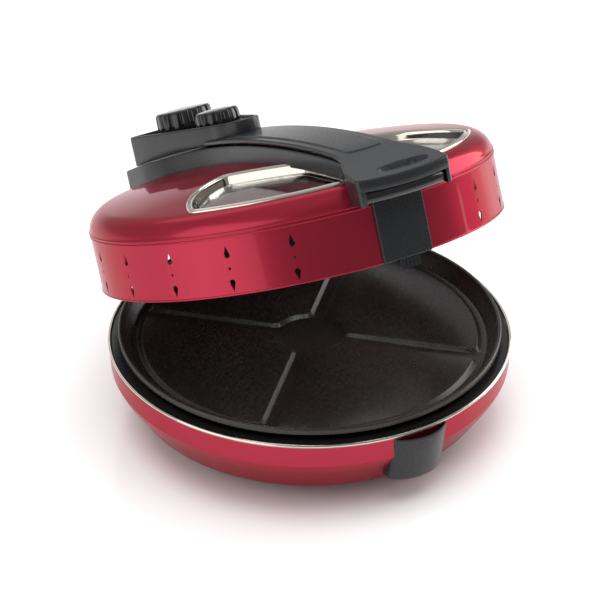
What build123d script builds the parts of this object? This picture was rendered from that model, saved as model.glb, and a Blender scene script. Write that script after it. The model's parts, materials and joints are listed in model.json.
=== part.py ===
from build123d import *
from math import asin, atan2, cos, degrees, radians, sin, sqrt
import os

# Round electric griddle with a hinged lid, millimetres.
# Origin: centre of the foot ring's underside. -Y is the front, +X the right, +Z up.
# Heights of the lid's pieces are given with the lid closed; lid planes then carry them to rest.

# ---- driving dimensions: base ----
foot_h = 8.0               # height of the rubber foot ring
foot_r_in = 112.0
foot_r_out = 128.0
base_r = 178.0             # bowl radius at its rim
base_rim_z = 73.0          # top edge of the bowl's sheet
crease_r = 173.0           # crease round the bowl's side
crease_z = 45.5
waist_r = 177.0
waist_z = 53.5
heel_r = 157.0             # where the bowl's side turns under
heel_z = 20.5
flat_r = 132.0             # flat underside
base_t = 1.5               # bowl sheet
cover_hole_r = 104.0       # service opening in the underside
cover_lap = 4.0
cover_t = 1.5
trim_r = 177.1             # rim bead centre line
trim_bead_r = 1.3

# ---- driving dimensions: tray, drive and pan ----
tray_t = 1.2
tray_flange_z = 74.2       # top of the black ledge
tray_flange_r = 175.6
tray_well_r = 164.0
tray_floor_r = 158.0
tray_floor_z = 38.2        # top of the tray's floor
shaft_r = 4.0
shaft_gap = 0.05           # running clearance of shafts and pins, on radius
bush_r = 7.0
element_r = 110.0          # heating element ring
element_tube_r = 3.3
element_z = 52.0
element_gap_deg = 16.0     # gap between the element's two ends
pan_r = 169.4              # pan over its rolled rim
pan_rim_z = 85.7
pan_rim_h = 5.0
pan_t = 1.5
pan_floor_r = 156.5
pan_channel_z = 71.0       # top of the channels
pan_step = 3.0             # raised sectors stand this much higher
pan_sector_r = 148.5
pan_hub_r = 32.0
pan_channel_w = 16.0       # between the raised sectors' top edges
pan_slope = 4.0            # width of the sloped edges
pan_lift_gap = 0.3         # between the pan's underside and the spider
spider_w = 14.0
spider_t = 4.5
spider_r = 138.0
lug_r = 116.0
motor_r = 25.0
motor_h = 17.0

# ---- driving dimensions: lid ----
hinge_y = 205.2
hinge_z = 88.0
lid_open = 23.25           # angle of the lid at rest
lid_r = 178.3
lid_rim_z = 76.0
lid_wall_z = 126.0         # top of the straight wall
shoulder_r = 19.0
crown_r = 1100.0           # radius of the shallow dome
lid_t = 1.2
bead_r = 0.9               # two fine beads round the wall's top
vent_step = 17.5           # degrees between vent columns
vent_first = 30.0
vent_columns = 7           # on each side
vent_mid_z = 98.5
vent_pitch = 13.0
vent_w = 5.0
vent_h = 10.5
window_gap_x = 12.0        # half the strip of dome between the two windows
window_front_r = 162.5
flange_w = 7.5             # bezel flange
flange_h = 2.0
bezel_t = 1.2
well_depth = 9.0           # bezel's wall below the dome
glass_t = 3.0
glass_gap = 0.3
liner_drop = 15.0          # reflector below the dome
liner_r = 157.0
upper_element_r = 124.0
upper_element_drop = 26.0

# ---- driving dimensions: bridge handle and controls ----
bridge_w = 27.5            # half width along the middle
bridge_tail_w = 55.0       # half width at the hinge
bridge_tail_y = 217.0
bridge_arch_r = 1050.0     # radius of its arched top edge
bridge_arch_y = 5.0
bridge_top_z = 171.2
bridge_wall = 2.5
arch_reach = 260.0         # the arch runs past both ends of the bridge
bridge_nose_y = -174.0
seam = 1.4                 # dark gap between the bridge base and its cover
cover_h = 4.2
cover_back_y = 96.0
pad_h = 2.2                # raised centre of the cover
pad_w = 19.0
flare_w = 44.0             # half width of the front flare
flare_y = -198.0
flare_bulge = 6.5
flare_neck_y = -158.0
slope_y = -150.0           # from here the cover's top slopes down to the lip
lip_top_z = 150.5
lip_h = 10.0
skirt_z = 129.0
skirt_t = 2.6              # cheeks at both ends of the lip
band_gap = 2.8             # open slot between a cheek and the glossy band
band_set_back = 1.4
pod_tail_w = 43.5          # control housing
pod_nose_w = 22.0
pod_nose_y = 76.0
pod_mid_y = 128.0
pod_mid_z = 184.5
pod_slope = 3.3            # its top rises toward the front
pod_wall = 2.5
dial_drop = 2.5
dial_lip = 3.5
plate_t = 2.0              # dial plate
big_knob_y = 180.0
big_knob_r = 26.5
big_knob_h = 17.5
small_knob_y = 111.5
small_knob_r = 20.5
small_knob_h = 13.0
knob_gap = 0.6
knob_wall = 3.5
knob_boss_r = 6.0
knob_flutes = 16
knob_flute_r = 2.4
knob_round = 2.6
spindle_r = 3.0
strap_w = 23.4             # half width of the front strap
strap_t = 3.0
strap_top_z = 124.0
tab_w = 8.75
tab_bottom_z = 67.5

# ---- driving dimensions: hinge, grip and fasteners ----
pin_r = 3.0
ear_r = 10.0
ear_in = 19.5              # inside faces of the hinge ears, from the middle
ear_out = 28.0
arm_gap = 0.8
grip_w = 26.5
grip_y = 187.5
grip_top_z = 72.0
grip_bottom_z = 27.0
grip_draft = 7.5
grip_wall = 3.0
gland_r = 7.0
gland_z = 53.0
cord_r = 3.6
screw_r = 1.6
head_r = 3.2
head_h = 1.8
cross_w = 0.7              # cross recess of the screws
cross_depth = 0.9

os.makedirs("parts", exist_ok=True)


# ---- planes that ride with the open lid ----
def carried(y, z):
    """Where a point of the closed lid stands when the lid is open as at rest."""
    a = radians(lid_open)
    dy, dz = y - hinge_y, z - hinge_z
    return (hinge_y + dy * cos(a) + dz * sin(a), hinge_z - dy * sin(a) + dz * cos(a))


lid_up = (0, sin(radians(lid_open)), cos(radians(lid_open)))
lid_back = (0, cos(radians(lid_open)), -sin(radians(lid_open)))
lid_origin = (0, *carried(0, 0))
lid_xy = Plane(lid_origin, x_dir=(1, 0, 0), z_dir=lid_up)
lid_xz = Plane(lid_origin, x_dir=(1, 0, 0), z_dir=tuple(-v for v in lid_back))
lid_yz = Plane(lid_origin, x_dir=lid_back, z_dir=(1, 0, 0))
lid_axis = Axis(lid_origin, lid_up)

pod_tilt = radians(lid_open + pod_slope)
pod_up = (0, sin(pod_tilt), cos(pod_tilt))
pod_top = Plane((0, *carried(pod_mid_y, pod_mid_z)), x_dir=(1, 0, 0), z_dir=pod_up)


def pod_local(y):
    """Distance along the sloping pod top of a point above lid position y."""
    return (y - pod_mid_y) / cos(radians(pod_slope))


def lid_facing(angle):
    """Upright plane on the lid's axis, facing outwards at this angle from the front."""
    a = radians(angle)
    out = Vector(sin(a), 0, 0) - Vector(*lid_back) * cos(a)
    side = Vector(cos(a), 0, 0) + Vector(*lid_back) * sin(a)
    return Plane(lid_origin, x_dir=side, z_dir=out)


# ---- dome geometry ----
crown_slope = asin((lid_r - shoulder_r) / (crown_r - shoulder_r))
crown_centre = lid_wall_z - (crown_r - shoulder_r) * cos(crown_slope)


def dome_z(r, inset=0.0):
    """Height of the dome's surface at radius r, or of a surface inset below it."""
    return crown_centre + sqrt((crown_r - inset) ** 2 - r ** 2)


def dome_form(inset, floor):
    """Solid under the lid's outer surface, inset evenly, down to a flat floor."""
    with BuildPart() as form:
        with BuildSketch(lid_xz):
            with BuildLine():
                top = (0, crown_centre + crown_r - inset)
                wall = (lid_r - inset, lid_wall_z)
                mid = crown_slope / 2
                turn = crown_slope + (radians(90) - crown_slope) / 2
                c_r, c_z = lid_r - shoulder_r, lid_wall_z
                s = shoulder_r - inset
                join = (c_r + s * sin(crown_slope), c_z + s * cos(crown_slope))
                on_crown = ((crown_r - inset) * sin(mid), crown_centre + (crown_r - inset) * cos(mid))
                on_turn = (c_r + s * sin(turn), c_z + s * cos(turn))
                ThreePointArc(top, on_crown, join)
                ThreePointArc(join, on_turn, wall)
                Polyline(wall, (lid_r - inset, floor), (0, floor), top)
            make_face()
        revolve(axis=lid_axis)
    return form.part


def bowl_form():
    """Solid inside the bowl's outer surface."""
    with BuildPart() as form:
        with BuildSketch(Plane.XZ):
            with BuildLine():
                under = Line((0, foot_h), (flat_r, foot_h))
                heel = TangentArc((flat_r, foot_h), (heel_r, heel_z), tangent=(1, 0))
                crease = (crease_r, crease_z)
                waist = (waist_r, waist_z)
                Polyline((heel_r, heel_z), crease, waist, (base_r, base_rim_z), (0, base_rim_z), (0, foot_h))
            make_face()
        revolve(axis=Axis.Z)
    return form.part


def bridge_outline(inset, nose_y):
    """Plan of the bridge base: a straight bar that widens toward the hinge."""
    w, t = bridge_w - inset, bridge_tail_w - inset
    tail = bridge_tail_y - inset
    with BuildLine() as line:
        right = Polyline((0, nose_y), (w, nose_y), (w, 20))
        flank = Spline((w, 20), (w + 3.6, 90), (t - 15, 130), (t - 2, 170), (t, tail - 8),
                       tangents=[(0, 1), (0, 1)])
        Polyline((t, tail - 8), (t, tail), (0, tail))
        mirror(about=Plane.YZ)
    return make_face(line.line, mode=Mode.PRIVATE)


def arch_z(y, lift):
    """Height of the bridge's arched edge over lid position y, raised by lift."""
    return bridge_top_z + lift - bridge_arch_r + sqrt(bridge_arch_r ** 2 - (y - bridge_arch_y) ** 2)


def arch_form(top, bottom, half_width):
    """Slab between the bridge's arch raised by top and a flat height, across the lid."""
    with BuildPart() as form:
        with BuildSketch(lid_yz):
            with BuildLine():
                front = (-arch_reach, arch_z(-arch_reach, top))
                rear = (arch_reach, arch_z(arch_reach, top))
                ThreePointArc(front, (bridge_arch_y, arch_z(bridge_arch_y, top)), rear)
                Polyline(rear, (arch_reach, bottom), (-arch_reach, bottom), front)
            make_face()
        extrude(amount=half_width, both=True)
    return form.part


def save(piece, name):
    """Label a finished piece and write its STEP file."""
    piece.part.label = name
    export_step(piece.part, f"parts/{name}.step")


def screws(plane, places, shank_r, shank_l):
    """Pan-head screws whose heads stand on the plane and whose shanks go down through it."""
    with BuildPart() as group:
        with BuildSketch(plane):
            with Locations(*places):
                Circle(head_r)
        extrude(amount=head_h)
        with BuildSketch(plane):
            with Locations(*places):
                Circle(shank_r)
        extrude(amount=-shank_l)
        with BuildSketch(plane.offset(head_h)):
            with Locations(*places):
                Rectangle(head_r * 1.3, cross_w)
                Rectangle(cross_w, head_r * 1.3)
        extrude(amount=-cross_depth, mode=Mode.SUBTRACT)
    return group


def rods(plane, places, radius, reach):
    """Round rods through the plane at these places, reaching this far to both sides."""
    with BuildPart() as form:
        with BuildSketch(plane):
            with Locations(*places):
                Circle(radius)
        extrude(amount=reach, both=True)
    return form.part


def ring(plane, outer, inner, height):
    """Flat ring that rises from the plane."""
    with BuildPart() as form:
        with BuildSketch(plane):
            Circle(outer)
            Circle(inner, mode=Mode.SUBTRACT)
        extrude(amount=height)
    return form.part


def around(radius, count, start):
    """Points spread evenly on a circle."""
    angles = [radians(start + 360 / count * i) for i in range(count)]
    return [(radius * cos(a), radius * sin(a)) for a in angles]


bowl = bowl_form()
dome = dome_form(0, lid_rim_z)

# ================= base =================
with BuildPart() as foot_ring:
    add(ring(Plane.XY, foot_r_out, foot_r_in, foot_h))
    chamfer(foot_ring.edges().filter_by(GeomType.CIRCLE).group_by(Axis.Z)[0], 1.5)
save(foot_ring, "foot_ring")

hinge_screw_places = [(-22, 60), (22, 60)]
hinge_screw_y = waist_r - 8.0
hinge_screw_plane = Plane((0, hinge_screw_y, 0), x_dir=(1, 0, 0), z_dir=(0, -1, 0))
cover_screw_places = around(cover_hole_r + cover_lap / 2 + 0.2, 4, 45)
with BuildPart() as base_shell:
    add(bowl)
    offset(amount=-base_t, openings=base_shell.faces().sort_by(Axis.Z)[-1])
    with BuildSketch(Plane.XY.offset(foot_h)):
        Circle(cover_hole_r)
    extrude(amount=base_t, mode=Mode.SUBTRACT)
    add(rods(Plane.XY.offset(foot_h), cover_screw_places, screw_r * 0.7, base_t), mode=Mode.SUBTRACT)
    add(rods(hinge_screw_plane, hinge_screw_places, screw_r, 20), mode=Mode.SUBTRACT)
    with BuildSketch(Plane.XZ.offset(-150)):
        with Locations((0, gland_z)):
            Circle(cord_r)
    extrude(amount=-40, mode=Mode.SUBTRACT)
save(base_shell, "base_shell")

with BuildPart() as bottom_cover:
    with BuildSketch(Plane.XY.offset(foot_h)):
        Circle(cover_hole_r + cover_lap + 1.5)
    extrude(amount=-cover_t)
    with BuildSketch(Plane.XY.offset(foot_h)):
        with PolarLocations(60, 12):
            SlotOverall(26, 4)
    extrude(amount=-cover_t, mode=Mode.SUBTRACT)
    add(rods(Plane.XY.offset(foot_h), cover_screw_places, screw_r * 0.7, cover_t), mode=Mode.SUBTRACT)
save(bottom_cover, "bottom_cover")

under_cover = Plane((0, 0, foot_h - cover_t), x_dir=(1, 0, 0), z_dir=(0, 0, -1))
bottom_screws = screws(under_cover, cover_screw_places, screw_r * 0.7, 6.0)
save(bottom_screws, "bottom_screws")

with BuildPart() as rim_trim:
    with BuildSketch(Plane.XZ):
        with Locations((trim_r, base_rim_z + trim_bead_r)):
            Circle(trim_bead_r)
        with Locations((trim_r - 0.4, base_rim_z + 0.5)):
            Rectangle(1.8, 1.0)
    revolve(axis=Axis.Z)
save(rim_trim, "rim_trim")

element_end = radians(element_gap_deg / 2)
lower_ends = [(sign * element_r * sin(element_end), element_r * cos(element_end)) for sign in (-1, 1)]
with BuildPart() as inner_tray:
    with BuildSketch(Plane.XZ):
        with BuildLine():
            Polyline((bush_r, tray_floor_z), (tray_floor_r - 8, tray_floor_z),
                     (tray_floor_r, tray_floor_z + 6), (tray_well_r, tray_flange_z),
                     (tray_flange_r, tray_flange_z),
                     (tray_flange_r, tray_flange_z - tray_t), (tray_well_r + tray_t, tray_flange_z - tray_t),
                     (tray_floor_r + tray_t, tray_floor_z + 5.6), (tray_floor_r - 7.5, tray_floor_z - tray_t),
                     (bush_r, tray_floor_z - tray_t), close=True)
        make_face()
    revolve(axis=Axis.Z)
    add(rods(Plane.XY.offset(tray_floor_z), lower_ends, element_tube_r + 1.7, 4), mode=Mode.SUBTRACT)
save(inner_tray, "inner_tray")

with BuildPart() as lower_element:
    with BuildSketch(Plane(Vector(lower_ends[1][0], lower_ends[1][1], element_z),
                           x_dir=(0, 0, 1), z_dir=(cos(element_end), -sin(element_end), 0))):
        Circle(element_tube_r)
    revolve(axis=Axis((0, 0, 0), (0, 0, -1)), revolution_arc=360 - element_gap_deg)
    with BuildSketch(Plane.XY.offset(element_z)):
        with Locations(*lower_ends):
            Circle(element_tube_r)
    extrude(amount=-(element_z - tray_floor_z + 9))
    for x, y in lower_ends:
        with Locations((x, y, element_z)):
            Sphere(element_tube_r)
save(lower_element, "lower_element")

with BuildPart() as element_bushes:
    with BuildSketch(Plane.XY.offset(tray_floor_z - 4.2)):
        with Locations(*lower_ends):
            Circle(element_tube_r + 1.6)
            Circle(element_tube_r + 0.02, mode=Mode.SUBTRACT)
    extrude(amount=7)
    with BuildSketch(Plane.XY.offset(tray_floor_z)):
        with Locations(*lower_ends):
            Circle(element_tube_r + 3.4)
            Circle(element_tube_r + 0.02, mode=Mode.SUBTRACT)
    extrude(amount=2)
save(element_bushes, "lower_element_bushes")

clip_top = element_z - element_tube_r
with BuildPart() as lower_clips:
    for angle in (-90, 30, 150):
        a = radians(angle)
        upright = Plane((element_r * cos(a), element_r * sin(a), tray_floor_z), x_dir=(cos(a), sin(a), 0),
                        z_dir=(sin(a), -cos(a), 0))
        with BuildSketch(upright):
            with Locations((0, (clip_top - tray_floor_z) / 2)):
                Rectangle(1.6, clip_top - tray_floor_z)
            with Locations((0, 0.6)):
                Rectangle(14, 1.2)
            with Locations((0, clip_top + element_tube_r - tray_floor_z)):
                Circle(element_tube_r + 1.2)
                Circle(element_tube_r + 0.02, mode=Mode.SUBTRACT)
            with Locations((0, clip_top + 2 * element_tube_r - tray_floor_z + 1)):
                Rectangle(4, 6, mode=Mode.SUBTRACT)
        extrude(amount=4, both=True)
    add(lower_element.part, mode=Mode.SUBTRACT)
save(lower_clips, "lower_element_clips")

with BuildPart() as shaft_bush:
    add(ring(Plane.XY.offset(tray_floor_z - tray_t - 3), bush_r - 0.02, shaft_r + shaft_gap, 11))
    add(ring(Plane.XY.offset(tray_floor_z), bush_r + 3, shaft_r + shaft_gap, 2))
save(shaft_bush, "shaft_bush")

bracket_z = tray_floor_z - tray_t - 6.0
bracket_x = 42.0
with BuildPart() as motor_bracket:
    with BuildSketch(Plane.XY.offset(bracket_z)):
        SlotOverall(2 * bracket_x + 14, 22)
        Circle(bush_r + 2, mode=Mode.SUBTRACT)
    extrude(amount=1.6)
    for sign in (-1, 1):
        with BuildSketch(Plane.XY.offset(bracket_z + 1.6)):
            with Locations((sign * bracket_x, 0)):
                Circle(5)
                Circle(screw_r, mode=Mode.SUBTRACT)
        extrude(amount=4.4)
        add(rods(Plane.XY.offset(bracket_z), [(sign * bracket_x, 0)], screw_r, 2), mode=Mode.SUBTRACT)
save(motor_bracket, "motor_bracket")

with BuildPart() as drive_motor:
    with BuildSketch(Plane.XY.offset(bracket_z)):
        Circle(motor_r)
    extrude(amount=-motor_h)
    fillet(drive_motor.edges().filter_by(GeomType.CIRCLE), 1.5)
    with BuildSketch(Plane.XY.offset(bracket_z)):
        Circle(shaft_r + shaft_gap)
    extrude(amount=-motor_h / 2, mode=Mode.SUBTRACT)
    with BuildSketch(Plane.XY.offset(bracket_z - motor_h + 3)):
        with Locations((0, motor_r + 4)):
            Rectangle(22, 12)
    extrude(amount=8)
save(drive_motor, "drive_motor")

under_bracket = Plane((0, 0, bracket_z), x_dir=(1, 0, 0), z_dir=(0, 0, -1))
motor_screws = screws(under_bracket, [(-bracket_x, 0), (bracket_x, 0)], screw_r - 0.02, 5.8)
save(motor_screws, "motor_screws")

block_place = (-50, 92)
with BuildPart() as terminal_block:
    with BuildSketch(Plane.XY.offset(foot_h + base_t)):
        with Locations(block_place):
            Rectangle(34, 16)
    extrude(amount=12)
    with BuildSketch(Plane.XY.offset(foot_h + base_t + 12)):
        with Locations(block_place):
            with GridLocations(10, 0, 3, 1):
                Circle(2.6)
    extrude(amount=-6, mode=Mode.SUBTRACT)
save(terminal_block, "terminal_block")

with BuildPart() as thermal_fuse:
    with BuildSketch(Plane((40, 70, tray_floor_z - tray_t - 3.2), x_dir=(0, 1, 0), z_dir=(1, 0, 0))):
        Circle(3.0)
    extrude(amount=24)
    with BuildSketch(Plane((40, 70, tray_floor_z - tray_t - 3.2), x_dir=(0, 1, 0), z_dir=(1, 0, 0))):
        Circle(0.7)
    extrude(amount=-10)
save(thermal_fuse, "thermal_fuse")


def grip_outline(push, inset, back_y):
    """Crescent plan of the front grip: an arc bulging forward, closed behind."""
    w = grip_w - inset
    nose = -(grip_y - push - inset)
    side = -(base_r - 1.0 - push)
    with BuildLine() as line:
        ThreePointArc((-w, side), (0, nose), (w, side))
        Polyline((w, side), (w, back_y), (-w, back_y), (-w, side))
    return make_face(line.line, mode=Mode.PRIVATE)


with BuildPart() as base_grip:
    with BuildSketch(Plane.XY.offset(grip_top_z)):
        add(grip_outline(0, 0, -140))
    with BuildSketch(Plane.XY.offset(grip_bottom_z)):
        add(grip_outline(grip_draft, 0, -140))
    loft()
    fillet(base_grip.edges().group_by(Axis.Z)[0].sort_by(Axis.Y)[0], 3)
    with BuildSketch(Plane.XY.offset(grip_top_z + 1)):
        add(grip_outline(-0.2, grip_wall, -139))
    with BuildSketch(Plane.XY.offset(grip_bottom_z + grip_wall)):
        add(grip_outline(grip_draft - 0.5, grip_wall, -139))
    loft(mode=Mode.SUBTRACT)
    add(bowl, mode=Mode.SUBTRACT)
save(base_grip, "base_grip")

# ================= hinge on the base =================
axle = Plane((0, hinge_y, hinge_z), x_dir=(0, 1, 0), z_dir=(1, 0, 0))
with BuildPart() as hinge_housing:
    with BuildSketch(Plane.YZ):
        with BuildLine():
            Polyline((150, 36), (196, 40), (hinge_y + ear_r, 66), (hinge_y + ear_r, hinge_z),
                     (hinge_y, hinge_z), (hinge_y - ear_r, hinge_z), (186, 66), (150, 66), close=True)
        make_face()
        with Locations((hinge_y, hinge_z)):
            Circle(ear_r)
    extrude(amount=ear_out, both=True)
    with BuildSketch(Plane.YZ):
        with Locations((hinge_y, hinge_z + 3)):
            Rectangle(60, 2 * (ear_r + arm_gap) + 6)
    extrude(amount=ear_in, both=True, mode=Mode.SUBTRACT)
    with BuildSketch(Plane.YZ):
        with Locations((hinge_y, hinge_z)):
            Circle(pin_r + 0.02)
    extrude(amount=ear_out, both=True, mode=Mode.SUBTRACT)
    add(bowl, mode=Mode.SUBTRACT)
    with BuildSketch(Plane.XZ.offset(-150)):
        with Locations((0, gland_z)):
            Circle(gland_r + 0.02)
    extrude(amount=-70, mode=Mode.SUBTRACT)
    add(rods(hinge_screw_plane, hinge_screw_places, screw_r - 0.05, 22), mode=Mode.SUBTRACT)
save(hinge_housing, "hinge_housing")

with BuildPart() as hinge_pin:
    with BuildSketch(axle.offset(-ear_out - 1)):
        Circle(pin_r)
    extrude(amount=2 * ear_out + 2)
    for side in (-ear_out - 2.2, ear_out + 0.2):
        with BuildSketch(axle.offset(side)):
            Circle(pin_r + 1.8)
        extrude(amount=2.0)
save(hinge_pin, "hinge_pin")

with BuildPart() as cord_gland:
    rear = Plane((0, hinge_y + 2, gland_z), x_dir=(1, 0, 0), z_dir=(0, 1, 0))
    add(ring(rear, gland_r, cord_r, -24))
    add(ring(rear, gland_r, cord_r, 8))
    add(ring(rear.offset(8), gland_r + 1.5, cord_r, 3))
    add(bowl, mode=Mode.SUBTRACT)
save(cord_gland, "cord_gland")

with BuildPart() as hinge_screws:
    for x, z in hinge_screw_places:
        seat = sqrt((waist_r - base_t - 0.6) ** 2 - (abs(x) + head_r) ** 2)
        head_plane = Plane((x, seat, z), x_dir=(1, 0, 0), z_dir=(0, -1, 0))
        add(screws(head_plane, [(0, 0)], screw_r - 0.1, 12).part)
save(hinge_screws, "hinge_screws")

# ================= turntable =================
shaft_foot = bracket_z - motor_h / 2 + 1
spider_top = pan_channel_z - pan_t - pan_lift_gap
with BuildPart() as drive_shaft:
    with BuildSketch(Plane.XY.offset(shaft_foot)):
        Circle(shaft_r)
    extrude(amount=spider_top - 3 - shaft_foot)
save(drive_shaft, "drive_shaft")

with BuildPart() as spider:
    with BuildSketch(Plane.XY.offset(spider_top)):
        Circle(16)
        with Locations((0, 0)):
            Rectangle(2 * spider_r, spider_w, rotation=45)
            Rectangle(2 * spider_r, spider_w, rotation=-45)
    extrude(amount=-spider_t)
    fillet(spider.edges().filter_by(Axis.Z), 3)
    with BuildSketch(Plane.XY.offset(spider_top - spider_t)):
        Circle(11)
    extrude(amount=-8)
    with BuildSketch(Plane.XY.offset(spider_top)):
        with PolarLocations(lug_r, 4, start_angle=45):
            Rectangle(8, 31)
    extrude(amount=-spider_t)
    with BuildSketch(Plane.XY.offset(spider_top)):
        with PolarLocations(lug_r, 4, start_angle=45):
            with Locations((0, -14), (0, 14)):
                Rectangle(8, 3)
    extrude(amount=2.0)
    with BuildSketch(Plane.XY.offset(spider_top - 3)):
        Circle(shaft_r + 0.02)
    extrude(amount=-20, mode=Mode.SUBTRACT)
save(spider, "turntable_spider")


# ================= pan =================
def sector_form(top, grow):
    """Four raised sectors as solids standing on the channel floor, with sloped sides."""
    half = pan_channel_w / 2 - grow
    with BuildPart() as form:
        with BuildSketch(Plane.XZ):
            with BuildLine():
                Polyline((0, top - pan_step), (pan_sector_r + pan_slope + grow, top - pan_step),
                         (pan_sector_r + grow, top), (0, top), close=True)
            make_face()
        revolve(axis=Axis.Z)
        with BuildSketch(Plane.XZ):
            with BuildLine():
                Polyline((0, top - pan_step), (pan_hub_r - pan_slope - grow, top - pan_step),
                         (pan_hub_r - grow, top), (0, top), close=True)
            make_face()
        revolve(axis=Axis.Z, mode=Mode.SUBTRACT)
        for turn in (45, 135):
            a = radians(turn)
            across = Plane((0, 0, top - pan_step), x_dir=(-sin(a), cos(a), 0), z_dir=(cos(a), sin(a), 0))
            with BuildSketch(across):
                with BuildLine():
                    Polyline((-half + pan_slope, 0), (half - pan_slope, 0), (half, pan_step),
                             (-half, pan_step), close=True)
                make_face()
            extrude(amount=pan_r, both=True, mode=Mode.SUBTRACT)
    return form.part


raised = sector_form(pan_channel_z + pan_step, 0)
hollows = sector_form(pan_channel_z + pan_step - pan_t, -pan_t * 0.6)
with BuildPart() as pan:
    with BuildSketch(Plane.XZ):
        with BuildLine():
            base = pan_channel_z - pan_t
            lip = pan_r - 3.2
            Polyline((0, pan_channel_z), (pan_floor_r, pan_channel_z), (lip - 2.4, pan_rim_z - 4),
                     (lip, pan_rim_z), (pan_r - 0.8, pan_rim_z), (pan_r, pan_rim_z - 0.8),
                     (pan_r, pan_rim_z - pan_rim_h), (pan_r - 1.0, pan_rim_z - pan_rim_h),
                     (pan_r - 1.0, pan_rim_z - 1.4), (lip + 0.6, pan_rim_z - 1.4),
                     (pan_floor_r + 0.8, base), (0, base), close=True)
        make_face()
    revolve(axis=Axis.Z)
    add(raised)
    add(hollows, mode=Mode.SUBTRACT)
save(pan, "pan")

# ================= lid shell and windows =================
def window_face(inset):
    """Plan of the right window's bezel flange, drawn in by inset."""
    tip = (137.0, -78.0)
    corner = (66.0, -11.0)
    inner = (window_gap_x, -68.0)
    front = (window_gap_x, -sqrt(window_front_r ** 2 - window_gap_x ** 2))
    a = (atan2(tip[0], -tip[1]) + atan2(front[0], -front[1])) / 2
    end = (window_front_r * sin(a * 1.72), -window_front_r * cos(a * 1.72))
    with BuildSketch() as plan:
        with BuildLine():
            ThreePointArc(front, (window_front_r * sin(a), -window_front_r * cos(a)), end)
            Line(end, tip)
            ThreePointArc(tip, (110.0, -36.0), corner)
            Polyline(corner, inner, front)
        make_face()
        fillet(plan.vertices(), 9)
        if inset:
            offset(amount=-inset, mode=Mode.REPLACE)
    return plan.sketch


def window_column(inset):
    """Upright column over the right window, on the lid's own upright axis."""
    with BuildPart() as form:
        with BuildSketch(lid_xy.offset(lid_wall_z - 20)):
            add(window_face(inset))
        extrude(amount=80)
    return form.part


def shell_between(outer_inset, inner_inset, floor=lid_wall_z - 30):
    """Skin between two surfaces that follow the dome."""
    with BuildPart() as form:
        add(dome_form(outer_inset, floor))
        add(dome_form(inner_inset, floor - 5), mode=Mode.SUBTRACT)
    return form.part


def mirrored(solid):
    """The left-hand twin of a right-hand solid."""
    with BuildPart() as form:
        add(solid)
        mirror(about=Plane.YZ, mode=Mode.REPLACE)
    return form.part


flange_column = window_column(0)
open_column = window_column(flange_w)
wall_column = window_column(flange_w + bezel_t)
sight_column = window_column(flange_w + bezel_t + 3.0)
glass_column = window_column(flange_w + bezel_t + glass_gap)

vent_angles = [side * (vent_first + vent_step * i) for side in (-1, 1) for i in range(vent_columns)]


def teardrop(point_up):
    """Teardrop vent: a round end and a point."""
    r = vent_w / 2
    tip = vent_h - r
    flip = 1 if point_up else -1
    with BuildSketch() as plan:
        Circle(r)
        with BuildLine():
            Polyline((-r * 0.97, r * 0.24 * flip), (0, tip * flip), (r * 0.97, r * 0.24 * flip), close=True)
        make_face()
    return plan.sketch


with BuildPart() as lid_shell:
    add(dome)
    with BuildSketch(lid_xz):
        with Locations((lid_r, lid_wall_z - 1.2), (lid_r, lid_wall_z + 1.6)):
            Circle(bead_r)
        with Locations((lid_r - 0.2, lid_rim_z + 0.8)):
            Circle(0.8)
    revolve(axis=lid_axis)
    add(dome_form(lid_t, lid_rim_z - 5), mode=Mode.SUBTRACT)
    add(open_column, mode=Mode.SUBTRACT)
    add(mirrored(open_column), mode=Mode.SUBTRACT)
    for angle in vent_angles:
        facing = lid_facing(angle)
        with BuildSketch(facing.offset(lid_r - 12)):
            with Locations((0, vent_mid_z + vent_pitch - 1.6)):
                add(teardrop(True))
            with Locations((0, vent_mid_z - vent_pitch + 1.6)):
                add(teardrop(False))
            with Locations((0, vent_mid_z)):
                Circle(1.2)
        extrude(amount=20, mode=Mode.SUBTRACT)
    strap_hole_places = [(0, lid_wall_z - 12), (0, lid_rim_z + 12)]
    add(rods(lid_facing(0).offset(lid_r), strap_hole_places, screw_r, 8), mode=Mode.SUBTRACT)
    bridge_screw_places = [(0, -125), (0, -20), (-22, 120), (22, 120)]
    add(rods(lid_xy.offset(lid_wall_z + 24), bridge_screw_places, screw_r, 14), mode=Mode.SUBTRACT)
save(lid_shell, "lid_shell")

with BuildPart() as bezel_flange:
    add(shell_between(-flange_h, 0))
    add(flange_column, mode=Mode.INTERSECT)
    add(wall_column, mode=Mode.SUBTRACT)
with BuildPart() as bezel_wall:
    add(shell_between(0, well_depth + 1.5))
    add(open_column, mode=Mode.INTERSECT)
    add(wall_column, mode=Mode.SUBTRACT)
with BuildPart() as glass_ledge:
    add(shell_between(well_depth, well_depth + 1.5))
    add(open_column, mode=Mode.INTERSECT)
    add(sight_column, mode=Mode.SUBTRACT)
with BuildPart() as window_bezel_right:
    add(bezel_flange.part)
    add(bezel_wall.part)
    add(glass_ledge.part)
save(window_bezel_right, "window_bezel_right")

with BuildPart() as window_bezel_left:
    add(mirrored(window_bezel_right.part))
save(window_bezel_left, "window_bezel_left")

with BuildPart() as window_glass_right:
    add(shell_between(well_depth - glass_t, well_depth))
    add(glass_column, mode=Mode.INTERSECT)
save(window_glass_right, "window_glass_right")

with BuildPart() as window_glass_left:
    add(mirrored(window_glass_right.part))
save(window_glass_left, "window_glass_left")

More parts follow.
